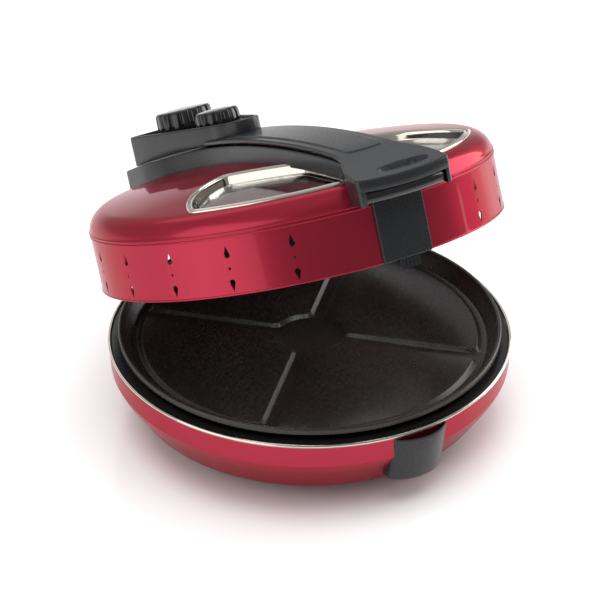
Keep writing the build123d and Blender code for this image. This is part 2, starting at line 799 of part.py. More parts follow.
upper_z = dome_z(0) - upper_element_drop - 6
upper_end_x = upper_element_r * sin(element_end)
upper_end_y = upper_element_r * cos(element_end)
upper_ends = [(-upper_end_x, upper_end_y), (upper_end_x, upper_end_y)]
with BuildPart() as lid_reflector:
    add(shell_between(liner_drop, liner_drop + 1.0))
    with BuildSketch(lid_xy.offset(lid_wall_z - 30)):
        Circle(liner_r)
    extrude(amount=60, mode=Mode.INTERSECT)
    add(ring(lid_xy.offset(lid_wall_z - 10), liner_r, liner_r - 1.0, 40))
    add(dome_form(liner_drop + 1.0, lid_wall_z - 30), mode=Mode.SUBTRACT)
    add(dome_form(lid_t, lid_wall_z - 40), mode=Mode.INTERSECT)
    add(open_column, mode=Mode.SUBTRACT)
    add(mirrored(open_column), mode=Mode.SUBTRACT)
    add(rods(lid_xy.offset(upper_z + 20), upper_ends, element_tube_r + 1.7, 30), mode=Mode.SUBTRACT)
save(lid_reflector, "lid_reflector")

with BuildPart() as upper_element:
    end_x, end_y = upper_ends[1]
    tangent = Vector(cos(element_end), 0, 0) - Vector(*lid_back) * sin(element_end)
    centre = lid_xy.offset(upper_z).from_local_coords((end_x, end_y, 0))
    with BuildSketch(Plane(centre, x_dir=lid_up, z_dir=tangent)):
        Circle(element_tube_r)
    revolve(axis=Axis(lid_origin, tuple(-v for v in lid_up)), revolution_arc=360 - element_gap_deg)
    with BuildSketch(lid_xy.offset(upper_z)):
        with Locations(*upper_ends):
            Circle(element_tube_r)
    extrude(amount=20)
    for x, y in upper_ends:
        with Locations(lid_xy.offset(upper_z).from_local_coords((x, y, 0))):
            Sphere(element_tube_r)
save(upper_element, "upper_element")

sheet_z = dome_z(upper_element_r, liner_drop + 1.0)
with BuildPart() as upper_bushes:
    with BuildSketch(lid_xy.offset(sheet_z - 3)):
        with Locations(*upper_ends):
            Circle(element_tube_r + 1.6)
            Circle(element_tube_r + 0.02, mode=Mode.SUBTRACT)
    extrude(amount=7)
    with BuildSketch(lid_xy.offset(sheet_z - 3)):
        with Locations(*upper_ends):
            Circle(element_tube_r + 3.4)
            Circle(element_tube_r + 0.02, mode=Mode.SUBTRACT)
    extrude(amount=2)
save(upper_bushes, "upper_element_bushes")

with BuildPart() as upper_clips:
    for angle in (-90, 30, 150):
        a = radians(angle)
        foot_z = dome_z(upper_element_r, liner_drop + 1.0)
        out = Vector(cos(a), 0, 0) + Vector(*lid_back) * sin(a)
        along = Vector(-sin(a), 0, 0) + Vector(*lid_back) * cos(a)
        place = (upper_element_r * cos(a), upper_element_r * sin(a), 0)
        origin = lid_xy.offset(upper_z).from_local_coords(place)
        with BuildSketch(Plane(origin, x_dir=out, z_dir=out.cross(Vector(*lid_up)))):
            with Locations((0, (foot_z - upper_z) / 2)):
                Rectangle(1.6, foot_z - upper_z)
            Circle(element_tube_r + 1.2)
            Circle(element_tube_r + 0.02, mode=Mode.SUBTRACT)
        extrude(amount=4, both=True)
    add(upper_element.part, mode=Mode.SUBTRACT)
    add(lid_reflector.part, mode=Mode.SUBTRACT)
save(upper_clips, "upper_element_clips")

with BuildPart() as strap:
    add(shell_between(-strap_t, 0, lid_rim_z))
    with BuildSketch(lid_xz.offset(150)):
        with BuildLine():
            w, low, high = strap_w, lid_rim_z, strap_top_z
            Polyline((-w, low), (w, low), (w, high), (-w, high), close=True)
        make_face()
    extrude(amount=60, mode=Mode.INTERSECT)
    add(lid_shell.part, mode=Mode.SUBTRACT)
    add(rods(lid_facing(0).offset(lid_r), strap_hole_places, screw_r - 0.4, strap_t - 1), mode=Mode.SUBTRACT)
save(strap, "lid_strap")

inside_wall = lid_facing(0).offset(lid_r - lid_t - 0.1)
strap_plane = Plane(inside_wall.origin, x_dir=-inside_wall.x_dir, z_dir=-inside_wall.z_dir)
strap_screws = screws(strap_plane, strap_hole_places, screw_r - 0.42, 2.4)
save(strap_screws, "strap_screws")

with BuildPart() as latch_tab:
    tab_face = lid_xz.offset(lid_r + 0.7)
    with BuildSketch(tab_face):
        with Locations((0, (tab_bottom_z + lid_rim_z) / 2)):
            Rectangle(2 * tab_w, lid_rim_z - tab_bottom_z)
    extrude(amount=1.4)
    with BuildSketch(tab_face.offset(1.4)):
        with Locations((0, (tab_bottom_z + lid_rim_z) / 2)):
            with GridLocations(3.7, 0, 5, 1):
                Rectangle(1.3, lid_rim_z - tab_bottom_z - 1.2)
    extrude(amount=0.8)
save(latch_tab, "latch_tab")

# ================= bridge handle =================
with BuildPart() as bridge_room:
    with BuildSketch(lid_xy.offset(lid_wall_z)):
        add(bridge_outline(bridge_wall, bridge_nose_y + bridge_wall))
    extrude(amount=60)
    add(arch_form(-bridge_wall, lid_wall_z, bridge_tail_w + 5), mode=Mode.INTERSECT)

with BuildPart() as bridge_base:
    with BuildSketch(lid_xy.offset(lid_wall_z + 6)):
        add(bridge_outline(0, bridge_nose_y))
    extrude(amount=60)
    add(arch_form(0, lid_wall_z, bridge_tail_w + 5), mode=Mode.INTERSECT)
    add(bridge_room.part, mode=Mode.SUBTRACT)
    bosses = rods(lid_xy.offset(lid_wall_z + 28), bridge_screw_places, 4.2, 20)
    posts = arch_form(-1, lid_wall_z, bridge_tail_w)
    add(Part() + (bosses & posts))
    add(rods(lid_xy.offset(lid_wall_z + 20), bridge_screw_places, screw_r - 0.4, 18), mode=Mode.SUBTRACT)
    add(dome, mode=Mode.SUBTRACT)
    add(flange_column & shell_between(-flange_h - 0.3, 0), mode=Mode.SUBTRACT)
    add(mirrored(flange_column & shell_between(-flange_h - 0.3, 0)), mode=Mode.SUBTRACT)
save(bridge_base, "bridge_base")


def cover_outline(inset):
    """Plan of the bridge cover: a bar that flares at the front to a broad lip."""
    w = bridge_w - 1.0 - inset
    tip_w = flare_w - inset
    tip_y = flare_y + inset
    with BuildLine() as half:
        Polyline((0, cover_back_y), (w, cover_back_y), (w, flare_neck_y + 30))
        Spline((w, flare_neck_y + 30), (w + 3.5, flare_neck_y + 6), (tip_w - 1.5, tip_y + 14), (tip_w, tip_y),
               tangents=[(0, -1), (0.1, -1)])
        ThreePointArc((tip_w, tip_y), (tip_w / 2, tip_y - flare_bulge * 0.75), (0, tip_y - flare_bulge))
        mirror(about=Plane.YZ)
    return make_face(half.line, mode=Mode.PRIVATE)


def cover_top(raise_by):
    """Side view of the space under the cover's top, with its front slope."""
    lip_z = lip_top_z + raise_by - seam - cover_h
    with BuildPart() as form:
        with BuildSketch(lid_yz):
            with BuildLine():
                rear = (arch_reach, arch_z(arch_reach, raise_by))
                slope_start = (slope_y, arch_z(slope_y, raise_by))
                slope_end = (flare_y - flare_bulge - 20, lip_z - 9)
                ThreePointArc(rear, (bridge_arch_y, arch_z(bridge_arch_y, raise_by)), slope_start)
                Polyline(slope_start, (flare_y, lip_z), slope_end, (slope_end[0], lid_rim_z),
                         (arch_reach, lid_rim_z), rear)
            make_face()
        extrude(amount=80, both=True)
    return form.part


with BuildPart() as bar_room:
    with BuildSketch(lid_yz):
        with BuildLine():
            bar_rear = (cover_back_y + 24, arch_z(cover_back_y + 24, seam))
            bar_front = (bridge_nose_y, arch_z(bridge_nose_y, seam))
            ThreePointArc(bar_rear, (0, arch_z(0, seam)), bar_front)
            Polyline(bar_front, (bridge_nose_y, lid_rim_z), (cover_back_y + 24, lid_rim_z), bar_rear)
        make_face()
    extrude(amount=80, both=True)

with BuildPart() as pad:
    with BuildSketch(lid_xy.offset(lid_wall_z + 20)):
        with BuildLine():
            Polyline((0, cover_back_y), (pad_w, cover_back_y), (pad_w, -120))
            Spline((pad_w, -120), (pad_w - 5, -146), (0, -156), tangents=[(0, -1), (-1, 0)])
            mirror(about=Plane.YZ)
        make_face()
    extrude(amount=60)
    add(cover_top(seam + cover_h + pad_h), mode=Mode.INTERSECT)
    add(cover_top(seam + cover_h - 1), mode=Mode.SUBTRACT)

with BuildPart() as bridge_cover:
    with BuildSketch(lid_xy.offset(skirt_z)):
        add(cover_outline(0))
    extrude(amount=60)
    add(cover_top(seam + cover_h), mode=Mode.INTERSECT)
    add(bar_room.part, mode=Mode.SUBTRACT)
    with BuildSketch(lid_xy.offset(skirt_z - 2)):
        add(cover_outline(skirt_t))
        with Locations((0, -240)):
            Rectangle(200, 84, mode=Mode.SUBTRACT)
    extrude(amount=lip_top_z - lip_h - skirt_z + 2, mode=Mode.SUBTRACT)
    with BuildSketch(lid_xy.offset(skirt_z - 2)):
        with BuildLine():
            w = flare_w - skirt_t
            Polyline((-w, -160), (-w, -215), (w, -215), (w, -160), close=True)
        make_face()
    extrude(amount=lip_top_z - lip_h - skirt_z + 2, mode=Mode.SUBTRACT)
    add(dome_form(-0.3, lid_rim_z), mode=Mode.SUBTRACT)
    add(bridge_base.part, mode=Mode.SUBTRACT)
    add(pad.part)
save(bridge_cover, "bridge_cover")

with BuildPart() as grip_band:
    band_top = lip_top_z - lip_h
    band_w = flare_w - skirt_t - band_gap
    with BuildSketch(lid_xy.offset(skirt_z - 3)):
        with BuildLine():
            y_end, y_mid = flare_y + band_set_back, flare_y - flare_bulge + band_set_back
            ThreePointArc((-band_w, y_end), (0, y_mid), (band_w, y_end))
            Polyline((band_w, y_end), (band_w, bridge_nose_y), (-band_w, bridge_nose_y), (-band_w, y_end))
        make_face()
    extrude(amount=band_top - skirt_z + 3 - 0.05)
    fillet(grip_band.edges().filter_by(GeomType.CIRCLE).sort_by(lid_axis)[0], 3.5)
    add(dome, mode=Mode.SUBTRACT)
    for other in (lid_shell, strap, bridge_base):
        add(other.part, mode=Mode.SUBTRACT)
save(grip_band, "grip_band")

# ================= control housing =================
pod_reach = 90.0


def pod_outline(inset):
    """Teardrop plan of the control housing: square at the hinge, round at the nose."""
    tail_w = pod_tail_w - inset
    nose_r = pod_nose_w - inset
    tail_y = bridge_tail_y - inset
    with BuildLine() as half:
        Polyline((0, tail_y), (tail_w, tail_y))
        Spline((tail_w, tail_y), (nose_r + 5, big_knob_y - 70), (nose_r, pod_nose_y),
               tangents=[(-0.12, -1), (-0.02, -1)])
        RadiusArc((nose_r, pod_nose_y), (0, pod_nose_y - nose_r), nose_r)
        mirror(about=Plane.YZ)
    return make_face(half.line, mode=Mode.PRIVATE)


def pod_under(drop):
    """Everything below a plane sunk under the sloping pod top."""
    with BuildPart() as form:
        with BuildSketch(pod_top.offset(-drop)):
            Rectangle(300, 400)
        extrude(amount=-pod_reach)
    return form.part


with BuildPart() as pod_room:
    with BuildSketch(lid_xy.offset(lid_wall_z - 1)):
        add(pod_outline(pod_wall))
    extrude(amount=100)
    add(pod_under(dial_drop + plate_t), mode=Mode.INTERSECT)

with BuildPart() as pod_mouth:
    with BuildSketch(lid_xy.offset(lid_wall_z + 20)):
        add(pod_outline(dial_lip))
    extrude(amount=80)

with BuildPart() as control_housing:
    with BuildSketch(lid_xy.offset(lid_wall_z)):
        add(pod_outline(0))
    extrude(amount=100)
    add(pod_under(0), mode=Mode.INTERSECT)
    fillet(control_housing.faces().sort_by(Axis(pod_top.origin, pod_up))[-1].edges(), 1.2)
    add(pod_room.part, mode=Mode.SUBTRACT)
    add(pod_mouth.part, mode=Mode.SUBTRACT)
    add(arch_form(seam, lid_wall_z - 10, 100), mode=Mode.SUBTRACT)
    add(bridge_cover.part, mode=Mode.SUBTRACT)
save(control_housing, "control_housing")

knob_places = [(0, pod_local(big_knob_y)), (0, pod_local(small_knob_y))]
with BuildPart() as dial_plate:
    with BuildSketch(lid_xy.offset(lid_wall_z + 20)):
        add(pod_outline(dial_lip + 0.2))
    extrude(amount=80)
    add(pod_under(dial_drop), mode=Mode.INTERSECT)
    add(pod_under(dial_drop + plate_t), mode=Mode.SUBTRACT)
    add(rods(pod_top, knob_places, spindle_r + 1.6, 12), mode=Mode.SUBTRACT)
save(dial_plate, "dial_plate")


def knob(place, radius, height):
    """Domed knob with a fluted grip, its spindle hole open below."""
    foot = pod_top.offset(-dial_drop + knob_gap)
    with BuildPart() as form:
        with BuildSketch(foot):
            with Locations(place):
                Circle(radius)
        extrude(amount=height)
        fillet(form.edges().filter_by(GeomType.CIRCLE).sort_by(Axis(foot.origin, pod_up))[-1], knob_round)
        with BuildSketch(foot.offset(1.6)):
            with Locations(place):
                with PolarLocations(radius + knob_flute_r * 0.35, knob_flutes):
                    Circle(knob_flute_r)
        extrude(amount=height - 2 * knob_round, mode=Mode.SUBTRACT)
        with BuildSketch(foot):
            with Locations(place):
                Circle(spindle_r + 0.02)
        extrude(amount=height - 4, mode=Mode.SUBTRACT)
        with BuildSketch(foot):
            with Locations(place):
                Circle(radius - knob_wall)
                Circle(knob_boss_r, mode=Mode.SUBTRACT)
        extrude(amount=height - 6, mode=Mode.SUBTRACT)
    return form


def spindle(place, height):
    """Thermostat spindle, from inside its body up into the knob of this height."""
    foot = pod_top.offset(-dial_drop + knob_gap)
    with BuildPart() as form:
        with BuildSketch(foot.offset(-9)):
            with Locations(place):
                Circle(spindle_r)
        extrude(amount=9 + height - 4.5)
    return form


def thermostat(place):
    """Thermostat body under the dial plate with a threaded neck through it."""
    below = pod_top.offset(-dial_drop - plate_t)
    with BuildPart() as form:
        with BuildSketch(below):
            with Locations(place):
                RectangleRounded(24, 22, 3)
        extrude(amount=-12)
        with BuildSketch(below):
            with Locations(place):
                Circle(spindle_r + 1.5)
        extrude(amount=2.2)
        with BuildSketch(below.offset(3)):
            with Locations(place):
                Circle(spindle_r + shaft_gap)
        extrude(amount=-13, mode=Mode.SUBTRACT)
        with BuildSketch(below.offset(-5)):
            with Locations((place[0], place[1] + 13)):
                with GridLocations(9, 0, 2, 1):
                    Rectangle(5, 5)
        extrude(amount=-0.8)
    return form


upper_heat_knob = knob(knob_places[0], big_knob_r, big_knob_h)
save(upper_heat_knob, "upper_heat_knob")
lower_heat_knob = knob(knob_places[1], small_knob_r, small_knob_h)
save(lower_heat_knob, "lower_heat_knob")
upper_spindle = spindle(knob_places[0], big_knob_h)
save(upper_spindle, "upper_spindle")
lower_spindle = spindle(knob_places[1], small_knob_h)
save(lower_spindle, "lower_spindle")
upper_thermostat = thermostat(knob_places[0])
save(upper_thermostat, "upper_thermostat")
lower_thermostat = thermostat(knob_places[1])
save(lower_thermostat, "lower_thermostat")

# ================= hinge on the lid =================
arm_w = ear_in - arm_gap
tail_inside = bridge_tail_y - bridge_wall
with BuildPart() as hinge_bracket:
    with BuildSketch(lid_yz):
        with BuildLine():
            Polyline((lid_r + 1.5, lid_wall_z + 18), (tail_inside, lid_wall_z + 18),
                     (tail_inside, hinge_z + 4), (hinge_y, hinge_z), (hinge_y - ear_r + 0.6, hinge_z),
                     (hinge_y - ear_r + 0.6, hinge_z + 12), (lid_r + 1.5, lid_wall_z - 8), close=True)
        make_face()
        with Locations((hinge_y, hinge_z)):
            Circle(ear_r - 0.6)
    extrude(amount=arm_w, both=True)
    with BuildSketch(lid_yz):
        with Locations((hinge_y, hinge_z)):
            Circle(pin_r + shaft_gap)
    extrude(amount=arm_w, both=True, mode=Mode.SUBTRACT)
    add(dome, mode=Mode.SUBTRACT)
    add(bridge_base.part, mode=Mode.SUBTRACT)
save(hinge_bracket, "lid_hinge_bracket")

with BuildPart() as bridge_screws:
    for x, y in bridge_screw_places:
        skin = dome_z(sqrt(x * x + y * y), lid_t)
        below = lid_xy.offset(skin - 0.4)
        down = Plane(below.from_local_coords((x, y, 0)), x_dir=(1, 0, 0), z_dir=tuple(-v for v in lid_up))
        add(screws(down, [(0, 0)], screw_r - 0.42, 8.5).part)
save(bridge_screws, "bridge_screws")
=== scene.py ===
import json
from math import asin, atan2, cos, degrees, exp, hypot, log, pi, radians, sin, sqrt

import bmesh
import bpy
import numpy as np
from mathutils import Matrix, Vector
from mathutils.bvhtree import BVHTree


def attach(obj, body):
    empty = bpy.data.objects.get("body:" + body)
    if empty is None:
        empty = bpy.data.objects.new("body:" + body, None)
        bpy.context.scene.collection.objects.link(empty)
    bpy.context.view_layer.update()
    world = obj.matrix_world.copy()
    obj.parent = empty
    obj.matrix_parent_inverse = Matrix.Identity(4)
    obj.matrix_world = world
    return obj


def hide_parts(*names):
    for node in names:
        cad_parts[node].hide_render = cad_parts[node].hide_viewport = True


# Looks of the round lidded electric griddle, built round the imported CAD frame.
# Shapes are written in millimetres, the lid's in the frame of the closed lid. LID carries those to rest
# and HOME leaves the base's where they are, and finish_mesh makes both metres.

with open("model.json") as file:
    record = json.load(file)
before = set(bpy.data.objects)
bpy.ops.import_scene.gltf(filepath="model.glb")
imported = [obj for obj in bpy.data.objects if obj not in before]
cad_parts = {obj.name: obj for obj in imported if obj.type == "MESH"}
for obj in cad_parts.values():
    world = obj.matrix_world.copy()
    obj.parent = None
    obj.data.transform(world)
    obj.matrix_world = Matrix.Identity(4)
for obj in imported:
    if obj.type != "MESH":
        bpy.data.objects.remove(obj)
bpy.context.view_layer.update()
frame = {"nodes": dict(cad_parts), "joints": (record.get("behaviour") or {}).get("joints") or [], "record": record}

MM = 0.001
LID_OPEN = radians(23.25)
hinge_joint = next(j for j in frame["joints"] if j["name"] == "lid_hinge")
hinge_point = Vector(hinge_joint["pos_m"])
LID = (Matrix.Translation(hinge_point) @ Matrix.Rotation(LID_OPEN, 4, hinge_joint["axis"])
       @ Matrix.Translation(-hinge_point))
HOME = Matrix.Identity(4)

# ---- lid, in millimetres ----
LID_R = 178.3
LID_RIM_Z = 76.0
LID_WALL_Z = 126.0         # top of the straight wall
SHOULDER_R = 19.0
CROWN_R = 1100.0
LID_T = 1.2
BEAD_R = 0.9
CROWN_SLOPE = asin((LID_R - SHOULDER_R) / (CROWN_R - SHOULDER_R))
CROWN_Z = LID_WALL_Z - (CROWN_R - SHOULDER_R) * cos(CROWN_SLOPE)
WELL = 9.0                 # depth of the windows' wells
FLANGE_W = 6.2
GLASS_T = 3.0

# ---- bridge over the lid; widths are half widths ----
TAIL_Y = 217.0
TAIL_W = 55.0
BRIDGE_W = 27.5
BRIDGE_NOSE_Y = -174.0
ARCH_R = 1050.0
ARCH_Y = 5.0
ARCH_TOP = 171.2
SEAM = 1.4                 # gap between the bridge's body and its cover
COVER_H = 4.2
COVER_W = 26.5
COVER_BACK_Y = 96.0
PAD_W = 19.0
PAD_H = 1.0
LIP_TOP = 150.5
LIP_H = 10.0
FLARE_W = 44.0
FLARE_Y = -198.0
BULGE = 6.5
BAND_GAP = 2.8             # slot between a cheek and the band
BAND_SET_BACK = 1.4


# ================= mesh helpers =================
def arc(cx, cy, r, start, end, n):
    """Points on an arc, angles in degrees."""
    return [(cx + r * cos(radians(start + (end - start) * i / n)),
             cy + r * sin(radians(start + (end - start) * i / n))) for i in range(n + 1)]


def rounded(points, radius, n=5, closed=True):
    """A polyline with its corners rounded; radius is one number or one for each point."""
    radii = radius if hasattr(radius, "__len__") else [radius] * len(points)
    made = []
    count = len(points)
    for i, p in enumerate(points):
        if radii[i] <= 0 or (not closed and i in (0, count - 1)):
            made.append(tuple(p))
            continue
        here = Vector(p)
        before = (Vector(points[i - 1]) - here)
        after = (Vector(points[(i + 1) % count]) - here)
        turn = before.angle(after)
        if turn > radians(179.5):
            made.append(tuple(p))
            continue
        wanted = radii[i] / max(sin(turn / 2) / cos(turn / 2), 1e-4)
        reach = min(wanted, 0.49 * before.length, 0.49 * after.length)
        start = here + before.normalized() * reach
        end = here + after.normalized() * reach
        for k in range(n + 1):
            t = k / n
            made.append(tuple(start * (1 - t) ** 2 + here * (2 * t * (1 - t)) + end * t * t))
    return made


def finish_mesh(name, verts, faces, matrix, angle=32.0):
    """An object from millimetre points, with smooth faces split at sharp edges."""
    mesh = bpy.data.meshes.new(name)
    points = [tuple(matrix @ (Vector(v) * MM)) for v in verts]
    mesh.from_pydata(points, [], faces)
    mesh.validate()
    work = bmesh.new()
    work.from_mesh(mesh)
    bmesh.ops.remove_doubles(work, verts=work.verts, dist=1e-7)
    bmesh.ops.recalc_face_normals(work, faces=work.faces)
    work.to_mesh(mesh)
    work.free()
    for face in mesh.polygons:
        face.use_smooth = True
    mesh.set_sharp_from_angle(angle=radians(angle))
    piece = bpy.data.objects.new(name, mesh)
    bpy.context.scene.collection.objects.link(piece)
    return piece


def lathe(name, profile, matrix=HOME, segments=288, angle=32.0):
    """Closed (r, z) profile turned about the z axis; points on the axis become poles."""
    verts, faces, rows = [], [], []
    turns = [2 * pi * k / segments for k in range(segments)]
    for r, z in profile:
        if r < 1e-6:
            rows.append([len(verts)] * segments)
            verts.append((0, 0, z))
        else:
            rows.append([len(verts) + k for k in range(segments)])
            verts += [(r * cos(a), r * sin(a), z) for a in turns]
    for i in range(len(rows)):
        a, b = rows[i], rows[(i + 1) % len(rows)]
        if a[0] == a[1] and b[0] == b[1]:
            continue
        for k in range(segments):
            n = (k + 1) % segments
            ring = []
            for v in (a[k], a[n], b[n], b[k]):
                if v not in ring:
                    ring.append(v)
            faces.append(ring)
    return finish_mesh(name, verts, faces, matrix, angle)


class Form:
    """Collects loops and faces of one piece in millimetres."""

    def __init__(self):
        self.verts = []
        self.faces = []

    def loop(self, points):
        """Add a closed loop of points and return its vertex numbers."""
        first = len(self.verts)
        self.verts += [tuple(p) for p in points]
        return list(range(first, len(self.verts)))

    def bridge(self, a, b):
        """Join two loops of equal length."""
        n = len(a)
        self.faces += [[a[i], a[(i + 1) % n], b[(i + 1) % n], b[i]] for i in range(n)]

    def cap(self, ids, corners, height):
        """Fill a loop with a grid; corners are where its four sides start; height gives z at x, y."""
        c0, c1, c2, c3 = corners
        n = len(ids)
        ends = ((c0, c1), (c1, c2), (c2, c3), (c3, c0 + n))
        sides = [[ids[k % n] for k in range(start, end + 1)] for start, end in ends]
        south, east, north, west = sides[0], sides[1], sides[2][::-1], sides[3][::-1]
        across, along = len(south) - 1, len(east) - 1
        at = [Vector(v[:2]) for v in self.verts]
        grid = []
        for j in range(along + 1):
            row = []
            for i in range(across + 1):
                if j == 0:
                    row.append(south[i])
                elif j == along:
                    row.append(north[i])
                elif i == 0:
                    row.append(west[j])
                elif i == across:
                    row.append(east[j])
                else:
                    s, t = i / across, j / along
                    p = (at[south[i]] * (1 - t) + at[north[i]] * t + at[west[j]] * (1 - s) + at[east[j]] * s
                         - at[south[0]] * (1 - s) * (1 - t) - at[south[-1]] * s * (1 - t)
                         - at[north[0]] * (1 - s) * t - at[north[-1]] * s * t)
                    row.append(len(self.verts))
                    self.verts.append((p.x, p.y, height(p.x, p.y)))
            grid.append(row)
        for j in range(along):
            for i in range(across):
                self.faces.append([grid[j][i], grid[j][i + 1], grid[j + 1][i + 1], grid[j + 1][i]])


def resample(points, n):
    """n + 1 points evenly along an open polyline."""
    p = np.array(points, float)
    step = np.hypot(*np.diff(p, axis=0).T)
    along = np.concatenate(([0], np.cumsum(step)))
    at = np.linspace(0, along[-1], n + 1)
    return np.stack([np.interp(at, along, p[:, 0]), np.interp(at, along, p[:, 1])], 1)


def outline(right, across, along):
    """Closed loop of a symmetric plan, and its four corners, from its right half.

    The half is three polylines from the back's middle to the front's: back, side, front."""
    back, side, front = right
    b, s, f = resample(back, across), resample(side, along), resample(front, across)
    half = np.concatenate([b[:-1], s[:-1], f])
    other = half[1:-1][::-1] * [-1, 1]
    points = np.concatenate([half, other])
    corners = [across, across + along, 3 * across + along, 3 * across + 2 * along]
    return points, corners


def inset(points, d):
    """The loop moved inwards by d along its normals."""
    tangent = np.roll(points, -1, 0) - np.roll(points, 1, 0)
    tangent /= np.hypot(*tangent.T)[:, None]
    area = np.sum(points[:, 0] * np.roll(points[:, 1], -1) - points[:, 1] * np.roll(points[:, 0], -1))
    inward = np.stack([-tangent[:, 1], tangent[:, 0]], 1) * (1 if area > 0 else -1)
    return points + inward * d


def slab(form, plan, corners, steps):
    """Stack of inset loops, steps being (inset, height function), closed below and above."""
    loops = []
    for d, height in steps:
        flat = inset(plan, d)
        loops.append(form.loop([(x, y, height(x, y)) for x, y in flat]))
    for a, b in zip(loops, loops[1:]):
        form.bridge(a, b)
    form.cap(loops[0], corners, steps[0][1])
    form.cap(loops[-1], corners, steps[-1][1])


def cut(piece, *cutters):
    """Boolean difference, applied."""
    for cutter in cutters:
        tool = piece.modifiers.new("cut", "BOOLEAN")
        tool.operation = "DIFFERENCE"
        tool.solver = "MANIFOLD"
        tool.object = cutter
        apply_modifiers(piece)
        bpy.data.objects.remove(cutter)


def apply_modifiers(piece):
    """Replace the mesh by its evaluated form."""
    view = bpy.context.evaluated_depsgraph_get()
    view.update()
    done = bpy.data.meshes.new_from_object(piece.evaluated_get(view))
    piece.modifiers.clear()
    piece.data = done


def keep_normals(piece, source):
    """Give faces that still lie on the uncut source its smooth normals."""
    mesh = source.data
    tree = BVHTree.FromPolygons([v.co for v in mesh.vertices], [p.vertices for p in mesh.polygons])
    smooth = [n.vector.copy() for n in mesh.corner_normals]
    target = piece.data
    target.set_sharp_from_angle(angle=radians(32))
    wanted = [n.vector.copy() for n in target.corner_normals]
    for face in target.polygons:
        hit = tree.find_nearest(face.center)
        if hit[0] is None or hit[3] > 2e-5 or abs(face.normal.dot(hit[1])) < 0.97:
            continue
        for loop_id in face.loop_indices:
            co = target.vertices[target.loops[loop_id].vertex_index].co
            near = tree.find_nearest(co + (face.center - co) * 0.02)
            source_face = mesh.polygons[near[2]]
            total = Vector((0, 0, 0))
            for corner in source_face.loop_indices:
                away = (mesh.vertices[mesh.loops[corner].vertex_index].co - near[0]).length
                total += smooth[corner] / (away + 1e-6) ** 2
            wanted[loop_id] = total.normalized()
    target.normals_split_custom_set(wanted)


def prism(name, flat, low, high, to_world):
    """Closed prism of a flat outline between two heights, mapped by to_world(a, b, h)."""
    n = len(flat)
    verts = [to_world(a, b, low) for a, b in flat] + [to_world(a, b, high) for a, b in flat]
    faces = [[i, (i + 1) % n, n + (i + 1) % n, n + i] for i in range(n)]
    faces += [list(range(n))[::-1], list(range(n, 2 * n))]
    return finish_mesh(name, verts, faces, LID)


# ================= materials =================
def material(name, color, rough, metallic=0.0, **sockets):
    """Principled material; sockets are further constant inputs of the shader."""
    mat = bpy.data.materials.new(name)
    mat.use_nodes = True
    tree = mat.node_tree
    shader = tree.nodes["Principled BSDF"]
    shader.inputs["Base Color"].default_value = (*color, 1)
    shader.inputs["Roughness"].default_value = rough
    shader.inputs["Metallic"].default_value = metallic
    for key, value in sockets.items():
        shader.inputs[key.replace("_", " ")].default_value = value
    return mat, tree, shader


def noise(tree, scale, detail=3.0, stretch=None):
    """Noise in object coordinates, its scale in waves to the metre."""
    coords = tree.nodes.new("ShaderNodeTexCoord")
    node = tree.nodes.new("ShaderNodeTexNoise")
    node.inputs["Scale"].default_value = scale
    node.inputs["Detail"].default_value = detail
    if stretch:
        mapping = tree.nodes.new("ShaderNodeMapping")
        mapping.inputs["Scale"].default_value = stretch
        tree.links.new(coords.outputs["Object"], mapping.inputs["Vector"])
        tree.links.new(mapping.outputs["Vector"], node.inputs["Vector"])
    else:
        tree.links.new(coords.outputs["Object"], node.inputs["Vector"])
    return node


def spread(tree, shader, node, socket, low, high):
    """Drive a value of the shader by a texture between two numbers."""
    ranged = tree.nodes.new("ShaderNodeMapRange")
    ranged.inputs["From Min"].default_value = 0.3
    ranged.inputs["From Max"].default_value = 0.7
    ranged.inputs["To Min"].default_value = low
    ranged.inputs["To Max"].default_value = high
    tree.links.new(node.outputs["Fac"], ranged.inputs["Value"])
    tree.links.new(ranged.outputs["Result"], shader.inputs[socket])


def tint(tree, shader, node, low, high):
    """Drive the base colour by a texture between two colours."""
    ramp = tree.nodes.new("ShaderNodeValToRGB")
    ramp.color_ramp.elements[0].position = 0.35
    ramp.color_ramp.elements[0].color = (*low, 1)
    ramp.color_ramp.elements[1].position = 0.65
    ramp.color_ramp.elements[1].color = (*high, 1)
    tree.links.new(node.outputs["Fac"], ramp.inputs["Fac"])
    tree.links.new(ramp.outputs["Color"], shader.inputs["Base Color"])


def bump(tree, shader, node, strength, distance):
    """Bump from a texture, its depth in metres."""
    relief = tree.nodes.new("ShaderNodeBump")
    relief.inputs["Strength"].default_value = strength
    relief.inputs["Distance"].default_value = distance
    tree.links.new(node.outputs["Fac"], relief.inputs["Height"])
    tree.links.new(relief.outputs["Normal"], shader.inputs["Normal"])


def red_enamel():
    mat, tree, shader = material("red_enamel", (0.40, 0.021, 0.046), 0.30, 0.85, Coat_Weight=0.5,
                                 Coat_Roughness=0.045, Coat_IOR=1.36, Specular_Tint=(0.58, 0.12, 0.24, 1))
    tint(tree, shader, noise(tree, 2600, 2), (0.36, 0.019, 0.041), (0.44, 0.024, 0.052))
    spread(tree, shader, noise(tree, 900, 2), "Roughness", 0.29, 0.35)
    bump(tree, shader, noise(tree, 70, 1), 0.05, 0.0002)
    return mat


def polished_steel():
    mat, tree, shader = material("polished_steel", (0.70, 0.65, 0.58), 0.07, 1.0)
    spread(tree, shader, noise(tree, 300, 3), "Roughness", 0.05, 0.10)
    bump(tree, shader, noise(tree, 45, 2), 0.3, 0.0010)
    return mat


def satin_plastic():
    mat, tree, shader = material("satin_plastic", (0.016, 0.017, 0.019), 0.30, Specular_IOR_Level=0.42)
    tint(tree, shader, noise(tree, 500, 3), (0.014, 0.015, 0.017), (0.018, 0.019, 0.021))
    spread(tree, shader, noise(tree, 1200, 2), "Roughness", 0.24, 0.31)
    bump(tree, shader, noise(tree, 3800, 2), 0.12, 0.00005)
    return mat


